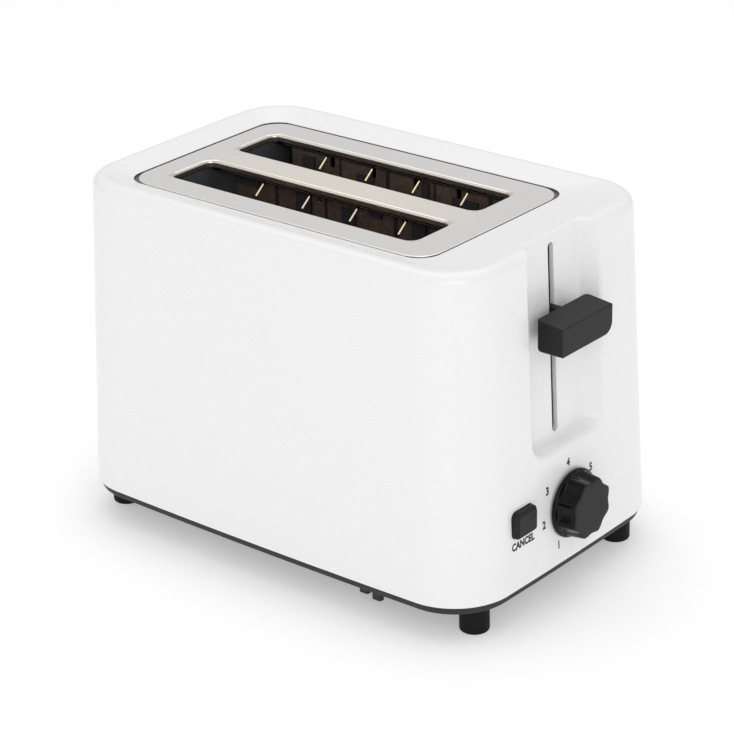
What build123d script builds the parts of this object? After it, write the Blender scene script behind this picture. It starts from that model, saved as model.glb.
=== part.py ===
"""Two-slice pop-up toaster, built as the separate pieces it comes apart into.

Millimetres, +Z up. +X points to the end that carries the lever and the dial, and -Y is the plain long side.
The pieces are modelled about the middle of the housing and moved to the part's origin, which is the bottom
middle of the whole box.
"""
import math
import os

from build123d import *

# ---- housing, outside ----
BODY_LENGTH = 240.0
BODY_WIDTH = 156.0
CREST_Z = 170.2
SHELL_FOOT_Z = 17.6
END_DRAFT = 5.8            # how far each end leans in between the shell's foot and its crest
SIDE_DRAFT = 6.4           # the same for each long side
FOOT_CORNER_R = 29.4
TOP_CORNER_R = 27.2
FOOT_END_BOW = 1.2         # how far the middle of an end stands out past its corners
FOOT_SIDE_BOW = 1.9
TOP_BOW = 0.3
TOP_EDGE_R = 5.0
SHELL_WALL = 2.2
HALF_LENGTH = BODY_LENGTH / 2
HALF_WIDTH = BODY_WIDTH / 2

# ---- fits and clearances ----
SCREW_FIT = 0.1            # radial, between a screw and its hole
RUN_FIT = 0.05             # radial, in the bearings that turn or slide
GAP = 0.3                  # between pieces that move past each other
SEAT_FIT = 0.1             # round a piece that sits in a pocket
CUT = 1.0                  # how far a cutter runs past a face

# ---- top rim, opening and steel plate ----
RIM_DEPTH = 3.5            # from the crest down to the steel plate
RIM_INSET = 6.0            # from the top outline to the crest of the dished rim
OPENING_FAR_MARGIN = 23.0  # from the -X end of the housing to the opening
OPENING_LEVER_MARGIN = 40.3
OPENING_SIDE_MARGIN = 25.2
OPENING_CORNER_R = 11.0
PLATE_GAP = 1.2
PLATE_CORNER_R = 12.5
PLATE_SHEET = 0.8
LEDGE_WIDTH = 3.0
LEDGE_THICK = 2.4
SLOT_LENGTH = 143.2
SLOT_WIDTH = 27.8
SLOT_CORNER_R = 5.0
SLOT_WEB = 17.6            # steel left between the two slots
SLOT_SHIFT = -2.55         # from the middle of the opening to the middle of the slots
SLOT_LIP = 3.4             # depth of the rolled edge round each bread slot
SLOT_ROLL_R = 1.5          # outer radius of that roll
PLATE_Z = CREST_Z - RIM_DEPTH
OPENING_LOW_X = OPENING_FAR_MARGIN - HALF_LENGTH
OPENING_HIGH_X = HALF_LENGTH - OPENING_LEVER_MARGIN
OPENING_WIDTH = BODY_WIDTH - 2 * OPENING_SIDE_MARGIN
SLOT_MID_X = (OPENING_LOW_X + OPENING_HIGH_X) / 2 + SLOT_SHIFT
SLOT_MID_Y = (SLOT_WEB + SLOT_WIDTH) / 2
LEDGE_TOP = PLATE_Z - PLATE_SHEET
ROOF_LOW = LEDGE_TOP - LEDGE_THICK

# ---- lever, its knob and its travel ----
LEVER_DOWN = 43.0
LEVER_UP = 20.0
ARM_SHEET = 1.6
ARM_HEIGHT = 8.0
KNOB_TOP_DROP = 33.0       # from the crest down to the top of the knob
KNOB_HEIGHT = 15.0         # at its back
KNOB_TOP_FALL = 1.6        # how far its top slopes down to the front
KNOB_WIDTH = 37.8
KNOB_DEPTH = 14.2
KNOB_PROUD = 7.0           # how far the knob's front stands past the end of the housing
KNOB_NECK_REACH = 7.6      # from the knob's back through the slot
KNOB_NECK_WIDTH = 3.4
KNOB_NECK_LOW = 1.2        # the neck stops this far above the knob's underside
KNOB_NECK_DROP = 1.0       # and this far under its top
KNOB_RIGHT_R = 5.5
KNOB_LEFT_R = 1.4
KNOB_BACK_R = 2.5
KNOB_EDGE_R = 0.6
KNOB_FRONT_WALL = 7.0      # between the arm's socket and the knob's front
KNOB_TOP_Z = CREST_Z - KNOB_TOP_DROP
KNOB_LOW_Z = KNOB_TOP_Z - KNOB_HEIGHT
KNOB_MID_Z = KNOB_TOP_Z - KNOB_HEIGHT / 2
KNOB_HIGH_X = HALF_LENGTH + KNOB_PROUD
KNOB_LOW_X = KNOB_HIGH_X - KNOB_DEPTH
KNOB_NECK_X = KNOB_LOW_X - KNOB_NECK_REACH
KNOB_SOCKET_END = KNOB_HIGH_X - KNOB_FRONT_WALL

# ---- lever channel in the +X end ----
CHANNEL_LOW_DEPTH = 10.0   # from the end of the housing to the channel floor, at its lower end
CHANNEL_HIGH_DEPTH = 13.4  # the same at the crest
CHANNEL_SPARE = 4.1        # the floor ends this far under the lowered knob
CHANNEL_SIDE_GAP = 1.3     # between the channel floor's edge and the knob's end
CHANNEL_SIDE_SLOPE = 0.85  # mm outwards in Y for each mm out of the channel
CHANNEL_RAMP_SLOPE = 0.35  # mm down for each mm out of the channel
CHANNEL_CORNER_R = 5.0
CHANNEL_FLARE = 0.5        # growth of that radius for each mm out of the channel
CHANNEL_FLOOR_R = 3.5
CHANNEL_EDGE_R = 3.0
CHANNEL_TOP_R = 1.2        # round where the channel's floor meets the rim
CHANNEL_REACH = 14.0       # how far the cutter reaches out of the channel floor
CHANNEL_HEADROOM = 9.0     # how far the cutter runs above the crest
BLANK_EXCESS = 0.02        # the block that rounds the channel's mouth is this much larger than the housing
LEVER_SLOT_WIDTH = 4.0
LEVER_SLOT_SPARE = (3.9, 9.1)   # free length of the slot under and over the neck's travel
CHANNEL_FLOOR_LOW_X = HALF_LENGTH - CHANNEL_LOW_DEPTH
CHANNEL_FLOOR_HIGH_X = HALF_LENGTH - CHANNEL_HIGH_DEPTH
CHANNEL_FLOOR_LOW_Z = KNOB_LOW_Z - LEVER_DOWN - CHANNEL_SPARE
CHANNEL_HALF_WIDTH = KNOB_WIDTH / 2 + CHANNEL_SIDE_GAP
LEVER_SLOT_LOW_Z = KNOB_LOW_Z + KNOB_NECK_LOW - LEVER_DOWN - LEVER_SLOT_SPARE[0]
LEVER_SLOT_HIGH_Z = KNOB_TOP_Z - KNOB_NECK_DROP + LEVER_UP + LEVER_SLOT_SPARE[1]

# ---- base pan, feet, tray ----
PAN_DROP = 4.2             # the pan's underside is this far under the shell's foot
PAN_FLOOR = 2.5
PAN_INSET = 1.6            # how far the black pan stands in from the shell's foot
PAN_RIM_RISE = 8.4         # how far the pan's inner rim stands up into the shell
PAN_RIM_WALL = 1.8
PAN_EDGE_R = 1.0
FOOT_R = 6.8
FOOT_EDGE_R = 1.0
FOOT_END_MARGIN = 14.0     # from an end of the housing to a foot's middle
FOOT_SIDE_MARGIN = 23.5
FOOT_SPIGOT_R = 3.0
TRAY_WIDTH = 100.0
TRAY_SHORT = 9.0           # the tray stops this far before the end frame
TRAY_SHEET = 0.8
TRAY_WALL = 4.2
TRAY_MOUTH_RISE = 7.0      # height of the tray's mouth above the shell's foot
TRAY_MOUTH_SIDE = 1.6      # the mouth is this much wider than the tray on each side
TRAY_HANDLE_DEPTH = 7.0
TRAY_HANDLE_INSET = 0.4
HANDLE_GROOVE = (4.0, 20.0, 2.4)   # depth, half width and height of the finger groove
RUNNER_HEIGHT = 4.4
RUNNER_WALL = 2.0
RUNNER_START = 20.0        # from the -X end of the housing
CORD_PEG_MARGINS = ((66.2, 11.6), (57.4, 9.8))   # from the +X end and from the plain side to each peg
CORD_PEG_SIZE = (5.2, 3.4)
CORD_PEG_CORNER_R = 1.2
CORD_PEG_DROP = 7.0
GLAND_R = 5.0
GLAND_BORE_R = 3.4
GLAND_MARGINS = (40.0, 18.0)
GLAND_FLANGE = (2.0, 1.2)  # width and thickness of its outer flange
GLAND_CLIP = (1.2, 1.5)    # the same of the clip inside the pan
VENT_LENGTH = 34.0
VENT_WIDTH = 3.4
VENT_PITCH = (42.0, 13.0)
VENT_COLUMNS = 3
VENT_ROWS = 7
VENT_MARGIN = 42.0         # from the -X end to the middle of the first column
BOSS_R = 4.5
PAN_BOTTOM_Z = SHELL_FOOT_Z - PAN_DROP
PAN_TOP = PAN_BOTTOM_Z + PAN_FLOOR
PAN_RIM_TOP_Z = SHELL_FOOT_Z + PAN_RIM_RISE
FOOT_X = HALF_LENGTH - FOOT_END_MARGIN
FOOT_Y = HALF_WIDTH - FOOT_SIDE_MARGIN
TRAY_LOW_Z = PAN_TOP + GAP
TRAY_MOUTH_TOP_Z = SHELL_FOOT_Z + TRAY_MOUTH_RISE
GLAND_PLACE = (HALF_LENGTH - GLAND_MARGINS[0], GLAND_MARGINS[1] - HALF_WIDTH)

# ---- heating cage ----
CAGE_END_GAP = 0.6         # between a slot's end and the end frame under it
FRAME_SHEET = 1.0
FRAME_LOW_Z = 24.0
FRAME_TOP_DROP = 4.1       # from the plate down to the frame's top
FRAME_SIDE = 13.0          # how far a frame reaches past the reflectors
FRAME_CHAMFER = 8.0
FRAME_FLANGE = 12.0
FRAME_FOOT_WIDTH = 9.0
REFLECTOR_STANDOFF = 7.8   # from an outer board to its reflector
REFLECTOR_SHEET = 0.6
REFLECTOR_LIP = 4.0
REFLECTOR_LOW_Z = 30.0
REFLECTOR_TOP_DROP = 8.7
BOARD_SHEET = 0.8
BOARD_STANDOFF = 3.6       # from a slot's outer edge to the outer board
BOARD_LOW_Z = 36.0
BOARD_TOP_DROP = 5.3
BOARD_END_GAP = 9.0        # between a board's body and the end frame; its tabs cross it
BOARD_TAB_HEIGHT = 9.0
BOARD_TAB_EDGE = 14.0      # from a board's long edge to its tab
BOARD_NOTCHES = 4
BOARD_NOTCH = (3.0, 6.0)   # width and depth
RIBBON_WIDTH = 1.8
RIBBON_THICK = 0.3
RIBBON_PITCH = 9.0
RIBBON_END_GAP = 5.0
RIBBON_LOW_GAP = 8.0
RIBBON_TOP_GAP = 12.0
WIRE_R = 0.6
GUARD_INSET = 4.5          # from a slot's edge in to the upright wires
GUARD_RAIL_OUT = 2.0       # from a slot's edge out to the long wires that carry them
GUARD_TOP_DROP = 5.1
GUARD_LOW_Z = 32.0
GUARD_FLARE = 5.0
GUARD_COUNT = 4
GUARD_PITCH = 28.1
GUARD_SHIFT = 2.8          # from the middle of the slots
FRAME_LOW_X = SLOT_MID_X - SLOT_LENGTH / 2 - CAGE_END_GAP
FRAME_HIGH_X = SLOT_MID_X + SLOT_LENGTH / 2 + CAGE_END_GAP
BOARD_OUTER_Y = SLOT_MID_Y + SLOT_WIDTH / 2 + BOARD_STANDOFF
REFLECTOR_Y = BOARD_OUTER_Y + REFLECTOR_STANDOFF
FRAME_HALF_WIDTH = REFLECTOR_Y + FRAME_SIDE
FRAME_TOP_Z = PLATE_Z - FRAME_TOP_DROP
REFLECTOR_TOP_Z = PLATE_Z - REFLECTOR_TOP_DROP
BOARD_TOP_Z = PLATE_Z - BOARD_TOP_DROP
GUARD_TOP_Z = PLATE_Z - GUARD_TOP_DROP
GUARD_MID_X = SLOT_MID_X + GUARD_SHIFT
TRAY_HIGH_X = FRAME_HIGH_X - TRAY_SHORT

# ---- bread carriage ----
RACK_Z = 88.0              # top of the bread racks
RACK_SHEET = 1.2
RACK_HEIGHT = 7.0
RACK_SIDE_GAP = 0.8        # between a rack's fingers and the guard wires
RACK_FINGER_WIDTH = 2.4
RACK_FINGER_COUNT = 7
RACK_FINGER_MARGIN = 12.0
RACK_TAIL = 4.0            # how far a rack reaches past the far end frame
RACK_WINDOW_FIT = 0.5
BRACKET_GAP = 5.0          # from the end frame to the bracket
BRACKET_SHEET = 1.2
BRACKET_HALF_WIDTH = 28.0
RISER_HALF_WIDTH = 20.0
TONGUE_HALF_WIDTH = 7.0
RISER_MARGIN = 1.7         # from the arm's top edge to the riser's
LUG_REACH = 11.0
LUG_HALF_WIDTH = 5.0
LUG_SPACE = 6.0            # from the spring's hook down to the upper bearing lug
ROD_R = 2.0
ROD_OUT = 7.0              # from the bracket's face to the rod
ROD_Y = 14.0
ROD_LUG_MARGIN = 4.0       # how far a frame lug reaches past the rod's axis
SPRING_HOOK_RISE = 26.0    # from the top of the racks to the spring's lower hook
SPRING_R = 3.4
SPRING_WIRE_R = 0.45
SPRING_TURNS = 14
ARMATURE_LENGTH = 22.0
ARMATURE_WIDTH = 10.0
ARMATURE_THICK = 2.4
ARMATURE_OUT = 17.0        # from the bracket to the armature's middle
ARMATURE_RISE = 9.0        # from the top of the racks to the armature's underside
RACK_FINGER_REACH = SLOT_WIDTH / 2 - GUARD_INSET - WIRE_R - RACK_SIDE_GAP
BRACKET_X = FRAME_HIGH_X + BRACKET_GAP
BRACKET_LOW_Z = RACK_Z - RACK_HEIGHT - 1.0
ROD_X = BRACKET_X + ROD_OUT
ROD_LOW_LUG_Z = BRACKET_LOW_Z - LEVER_DOWN - GAP - FRAME_SHEET
RISER_TOP_Z = KNOB_MID_Z + ARM_HEIGHT / 2 + RISER_MARGIN
ROD_HIGH_LUG_Z = RISER_TOP_Z + LEVER_UP + 1.0
SPRING_HOOK_Z = RACK_Z + SPRING_HOOK_RISE
ARMATURE_X = BRACKET_X + ARMATURE_OUT
ARMATURE_Z = RACK_Z + ARMATURE_RISE

# ---- dial, button, circuit board ----
CONTROL_DEPTH = 22.0       # from the end of the housing to the back face of the circuit board
BOARD_THICK = 1.6
BOARD_LOW_Y = -54.0
BOARD_HIGH_Y = 28.0
BOARD_BELOW_DIAL = 20.3
BOARD_ABOVE_DIAL = 24.7
BOARD_SCREW_RISE = 9.7     # from the dial's axis up to the board screws
BOARD_SCREW_MARGIN = 7.0
BOARD_POST_DEPTH = 7.0
BOARD_POST_TOP = 6.0       # how far a post reaches past its screw
DIAL_Z = 44.3
DIAL_FLANGE_PROUD = 0.0    # from the end of the housing out to the back of the flange
DIAL_HEIGHT = 10.6
DIAL_FLANGE_R = 16.2
DIAL_FLANGE_THICK = 1.6
DIAL_FACE_R = 13.9
DIAL_FLUTES = 8
DIAL_FLUTE_DEPTH = 1.7
DIAL_RIDGE_R = 0.9
DIAL_FACE_EDGE_R = 0.45
DIAL_HUB_R = 6.0
DIAL_HUB_LENGTH = 5.5
DIAL_FRONT_WALL = 4.6      # between the shaft's end and the dial's face
SHAFT_R = 3.0
POT_R = 8.5
POT_DEPTH = 8.0
POT_BACK = 2.0             # between the shaft's end and the board
POT_BUSH_R = 4.6
POT_BUSH_GAP = 0.9         # between the potentiometer's bush and the dial's hub
BUTTON_Y = -36.0
BUTTON_Z = 49.2
BUTTON_WIDTH = 15.2
BUTTON_HEIGHT = 12.6
BUTTON_CORNER_R = 2.6
BUTTON_CHAMFER = 1.4
BUTTON_PROUD = 1.9
BUTTON_TRAVEL = 1.5
BUTTON_FLANGE = 1.6
BUTTON_STEM_R = 2.4
SWITCH_SIZE = 6.2
SWITCH_DEPTH = 4.4
SWITCH_PLUNGER = (1.7, 1.0)   # radius and length
MAGNET_Z = 26.0
MAGNET_LEG = 5.0
MAGNET_SEAT = (7.0, 13.0)  # half sizes of the pan's block under the magnet
COIL_WOUND = 2.8
COIL_FLANGE = 3.6
COIL_CHEEK = 1.2
COIL_TOP_GAP = 4.0
CONTACT_YS = (18.5, 24.0)
CONTACT_LEAF = (8.0, 0.6, 32.0)   # width, thickness and height
CONTACT_FOOT = (3.0, 1.0)
TERMINAL_SIZE = (22.0, 14.0, 11.0)
TERMINAL_OFFSET = (-1.0, 27.0)    # from the gland to the block's middle
TERMINAL_PITCH = 11.0
TERMINAL_SCREW_R = 2.2
TERMINAL_WIRE_R = 1.8
CHIP_SIZE = (2.0, 8.0, 12.0)
CHIP_PLACE = (16.0, -10.3)        # middle, from the dial's axis along Y and Z
RESISTOR_SIZE = (3.0, 8.0, 3.0)
RESISTOR_PLACE = (-20.0, -12.8)
CAPACITOR_SIZE = (4.0, 9.0)       # radius and height
CAPACITOR_PLACE = (-22.0, 15.7)
BOARD_X = HALF_LENGTH - CONTROL_DEPTH
CONTROL_BOARD_Z = (DIAL_Z - BOARD_BELOW_DIAL, DIAL_Z + BOARD_ABOVE_DIAL)
BOARD_SCREW_Z = DIAL_Z + BOARD_SCREW_RISE
DIAL_FLANGE_X = HALF_LENGTH + DIAL_FLANGE_PROUD
DIAL_FACE_X = DIAL_FLANGE_X + DIAL_HEIGHT
DIAL_HUB_X = DIAL_FLANGE_X - DIAL_HUB_LENGTH
SHAFT_END_X = DIAL_FACE_X - DIAL_FRONT_WALL
POT_BUSH_END_X = DIAL_HUB_X - POT_BUSH_GAP
BUTTON_FACE_X = HALF_LENGTH + BUTTON_PROUD

# ---- screws ----
SCREW_R = 1.5
SCREW_HEAD_R = 3.2
SCREW_HEAD = 1.6
SCREW_DRIVE_R = 1.2
POST_R = 4.5
POST_END_MARGIN = 75.0
POST_SIDE_MARGIN = 6.8
POST_RISE = 26.4           # height of the screw posts above the shell's foot
SHELL_SCREW_REACH = 12.0   # how far a housing screw goes into its post
POST_X = HALF_LENGTH - POST_END_MARGIN
POST_Y = HALF_WIDTH - POST_SIDE_MARGIN
POST_TOP_Z = SHELL_FOOT_Z + POST_RISE

# ---- the part's own frame ----
X_SHIFT = (DIAL_FACE_X - HALF_LENGTH) / 2
SHELL_RISE = CREST_Z - SHELL_FOOT_Z


def box(x, y, z):
    """Box between the two numbers of each pair."""
    size = [abs(high - low) for low, high in (x, y, z)]
    middle = [(high + low) / 2 for low, high in (x, y, z)]
    return Pos(*middle) * Box(*size)


def rod(radius, start, end):
    """Round bar from one point to another."""
    line = Vector(*end) - Vector(*start)
    plane = Plane(origin=start, z_dir=line)
    return extrude(plane * Circle(radius), line.length)


def bowed_outline(length, width, corner, end_bow, side_bow, mid_x=0.0):
    """Rounded rectangle whose sides bulge to the full length and width at their middles."""
    half_x, half_y = length / 2, width / 2
    corner_x, corner_y = half_x - end_bow, half_y - side_bow
    corners = [(corner_x, -corner_y), (corner_x, corner_y), (-corner_x, corner_y), (-corner_x, -corner_y)]
    middles = [(half_x, 0), (0, half_y), (-half_x, 0), (0, -half_y)]
    edges = [ThreePointArc(corners[i], middles[i], corners[(i + 1) % 4]) for i in range(4)]
    face = make_face(edges)
    return Pos(mid_x, 0, 0) * fillet(face.vertices(), corner)


def body_section(z, inset=0.0):
    """Outline of the housing at a height, drawn in by inset."""
    up = (z - SHELL_FOOT_Z) / SHELL_RISE
    length = BODY_LENGTH - 2 * END_DRAFT * up - 2 * inset
    width = BODY_WIDTH - 2 * SIDE_DRAFT * up - 2 * inset
    corner = FOOT_CORNER_R + (TOP_CORNER_R - FOOT_CORNER_R) * up - inset
    end_bow = FOOT_END_BOW + (TOP_BOW - FOOT_END_BOW) * up
    side_bow = FOOT_SIDE_BOW + (TOP_BOW - FOOT_SIDE_BOW) * up
    return Pos(0, 0, z) * bowed_outline(length, width, corner, end_bow, side_bow)


def end_face_x(z):
    """Where the middle of the +X end face lies at a height."""
    return HALF_LENGTH - END_DRAFT * (z - SHELL_FOOT_Z) / SHELL_RISE


def rim_section(share, z):
    """Outline of the dished rim: share 0 at the opening, 1 at the crest."""
    crest_length = BODY_LENGTH - 2 * END_DRAFT - 2 * RIM_INSET
    crest_width = BODY_WIDTH - 2 * SIDE_DRAFT - 2 * RIM_INSET
    low_x = OPENING_LOW_X + share * (-crest_length / 2 - OPENING_LOW_X)
    high_x = OPENING_HIGH_X + share * (crest_length / 2 - OPENING_HIGH_X)
    width = OPENING_WIDTH + share * (crest_width - OPENING_WIDTH)
    corner = OPENING_CORNER_R + share * (TOP_CORNER_R - RIM_INSET - OPENING_CORNER_R)
    middle = (high_x + low_x) / 2
    return Pos(0, 0, z) * bowed_outline(high_x - low_x, width, corner, TOP_BOW, TOP_BOW, middle)


def opening_outline(inset, corner):
    """Outline of the top opening, drawn in by inset."""
    length = OPENING_HIGH_X - OPENING_LOW_X - 2 * inset
    middle = (OPENING_HIGH_X + OPENING_LOW_X) / 2
    return bowed_outline(length, OPENING_WIDTH - 2 * inset, corner, TOP_BOW, TOP_BOW, middle)


def channel_cutter(wall=0.0):
    """Solid that hollows the lever channel, or with a wall, the block that stands behind it."""
    rise = CREST_Z - CHANNEL_FLOOR_LOW_Z
    lean = math.atan((CHANNEL_FLOOR_LOW_X - CHANNEL_FLOOR_HIGH_X) / rise)
    normal = (math.cos(lean), 0, math.sin(lean))
    sections = []
    for depth in (-wall, CHANNEL_REACH):
        plane = Plane(origin=(CHANNEL_FLOOR_LOW_X, 0, CHANNEL_FLOOR_LOW_Z), x_dir=(0, 1, 0), z_dir=normal)
        half = CHANNEL_HALF_WIDTH + depth * CHANNEL_SIDE_SLOPE + wall * math.hypot(1, CHANNEL_SIDE_SLOPE)
        low = -depth * CHANNEL_RAMP_SLOPE - wall * math.hypot(1, CHANNEL_RAMP_SLOPE)
        high = rise + CHANNEL_HEADROOM
        corner = CHANNEL_CORNER_R + max(depth, 0) * CHANNEL_FLARE
        face = plane.offset(depth) * Pos(0, (high + low) / 2) * Rectangle(2 * half, high - low)
        lower = face.vertices().sort_by(Axis.Z)[:2]
        sections.append(fillet(lower, corner))
    cutter = loft(sections)
    if wall:
        return cutter
    floor = cutter.faces().sort_by(Axis.X)[0]
    rounded = [e for e in floor.edges() if e.center().Z < CREST_Z]
    return fillet(rounded, CHANNEL_FLOOR_R)


def mirrored_places(half_x, half_y):
    """Four places, one in each quarter of the housing."""
    return [(x, y) for x in (-half_x, half_x) for y in (-half_y, half_y)]


def lever_slot():
    """Cutter for the upright slot in the channel floor."""
    middle = (LEVER_SLOT_LOW_Z + LEVER_SLOT_HIGH_Z) / 2
    height = LEVER_SLOT_HIGH_Z - LEVER_SLOT_LOW_Z
    profile = Plane.YZ * Pos(0, middle) * SlotOverall(height, LEVER_SLOT_WIDTH, rotation=90)
    start = CHANNEL_FLOOR_HIGH_X - 2 * SHELL_WALL
    return Pos(start, 0, 0) * extrude(profile, HALF_LENGTH - start)


def post_places():
    """The four screw posts that join the shell to its pan."""
    return mirrored_places(POST_X, POST_Y)


def button_outline(grow=0.0):
    """Outline of the cancel button in the YZ plane."""
    width, height = BUTTON_WIDTH + 2 * grow, BUTTON_HEIGHT + 2 * grow
    return Plane.YZ * Pos(BUTTON_Y, BUTTON_Z) * RectangleRounded(width, height, BUTTON_CORNER_R + grow)


def on_end_face(point):
    """Whether a point lies on the +X end of the housing, beside or under the lever channel."""
    near = abs(point.X - end_face_x(point.Z)) < FOOT_END_BOW
    return near and abs(point.Y) < 2 * CHANNEL_HALF_WIDTH and point.Z > DIAL_Z


def carved_blank():
    """Block a hair larger than the housing, with the lever channel and its rounded mouth."""
    low, high = (body_section(z, -BLANK_EXCESS) for z in (SHELL_FOOT_Z - CUT, CREST_Z + CUT))
    carved = loft([low, high]) - channel_cutter()
    mouth = [e for e in carved.edges() if e.center().Z < CREST_Z
             and all(on_end_face(point) for point in (e @ 0, e.center(), e @ 1))]
    return fillet(mouth, CHANNEL_EDGE_R)


def shell_solid():
    """The housing's outer form with its edge rounded, its rim dished and its channel cut."""
    outer = loft([body_section(SHELL_FOOT_Z), body_section(CREST_Z)])
    outer = fillet(outer.faces().sort_by(Axis.Z)[-1].edges(), TOP_EDGE_R)
    over = 1.3
    dish_top = PLATE_Z + over * RIM_DEPTH
    outer -= loft([rim_section(0, PLATE_Z), rim_section(over, dish_top)])
    outer = outer & carved_blank()
    top_edge = [e for e in outer.edges() if abs(e.center().X - CHANNEL_FLOOR_HIGH_X) < 1 and e.center().Z > PLATE_Z
                and e.length > CHANNEL_HALF_WIDTH and abs(e.center().Y) < 1]
    return fillet(top_edge, CHANNEL_TOP_R)


def tray_mouth(grow=0.0):
    """Block through the -X end where the crumb tray goes in."""
    half = TRAY_WIDTH / 2 + TRAY_MOUTH_SIDE + grow
    low_x = -HALF_LENGTH - CUT
    inner_x = -HALF_LENGTH + TRAY_HANDLE_DEPTH + grow
    return box((low_x, inner_x), (-half, half), (SHELL_FOOT_Z - CUT, TRAY_MOUTH_TOP_Z + grow))


def housing_shell():
    """White one-piece cover with the lever channel, its control holes and four screw posts."""
    shell = shell_solid()
    cavity = loft([body_section(SHELL_FOOT_Z - CUT, SHELL_WALL), body_section(ROOF_LOW, SHELL_WALL)])
    cavity -= channel_cutter(SHELL_WALL)
    for x, y in post_places():
        cavity -= Pos(x, y, 0) * Cylinder(POST_R, POST_TOP_Z, align=(Align.CENTER, Align.CENTER, Align.MIN))
    shell -= cavity
    shell -= extrude(Pos(0, 0, LEDGE_TOP) * opening_outline(0, OPENING_CORNER_R), CREST_Z)
    shell -= extrude(Pos(0, 0, ROOF_LOW - CUT) * opening_outline(LEDGE_WIDTH, OPENING_CORNER_R - 2), CREST_Z)
    shell -= lever_slot()
    inside_x = HALF_LENGTH - FOOT_END_BOW - END_DRAFT - SHELL_WALL
    shell -= rod(DIAL_HUB_R + GAP, (inside_x, 0, DIAL_Z), (DIAL_FACE_X, 0, DIAL_Z))
    shell -= Pos(inside_x, 0, 0) * extrude(button_outline(GAP), HALF_LENGTH + CUT - inside_x)
    shell -= tray_mouth()
    hole_top = SHELL_FOOT_Z + SHELL_SCREW_REACH + CUT
    for x, y in post_places():
        shell -= rod(SCREW_R + SCREW_FIT, (x, y, SHELL_FOOT_Z - CUT), (x, y, hole_top))
    return shell


def slot_rectangle(side, grow=0.0):
    """Outline of one bread slot; side is -1 or 1."""
    length, width = SLOT_LENGTH + 2 * grow, SLOT_WIDTH + 2 * grow
    return Pos(SLOT_MID_X, side * SLOT_MID_Y) * RectangleRounded(length, width, SLOT_CORNER_R + grow)


def top_plate():
    """Pressed steel plate with a rolled edge round each bread slot."""
    plate = extrude(Pos(0, 0, LEDGE_TOP) * opening_outline(PLATE_GAP, PLATE_CORNER_R), PLATE_SHEET)
    plate = fillet(plate.faces().sort_by(Axis.Z)[-1].edges(), PLATE_SHEET * 0.6)
    for side in (-1, 1):
        plate += extrude(Pos(0, 0, PLATE_Z - SLOT_LIP) * slot_rectangle(side, PLATE_SHEET), SLOT_LIP)
        plate += extrude(Pos(0, 0, PLATE_Z - SLOT_ROLL_R) * slot_rectangle(side, SLOT_ROLL_R), SLOT_ROLL_R)
    for side in (-1, 1):
        plate -= extrude(Pos(0, 0, PLATE_Z - SLOT_LIP - CUT) * slot_rectangle(side), SLOT_LIP + 2 * CUT)
    top = plate.faces().sort_by(Axis.Z)[-1]
    return fillet([e for wire in top.inner_wires() for e in wire.edges()], SLOT_ROLL_R - RUN_FIT)


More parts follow.
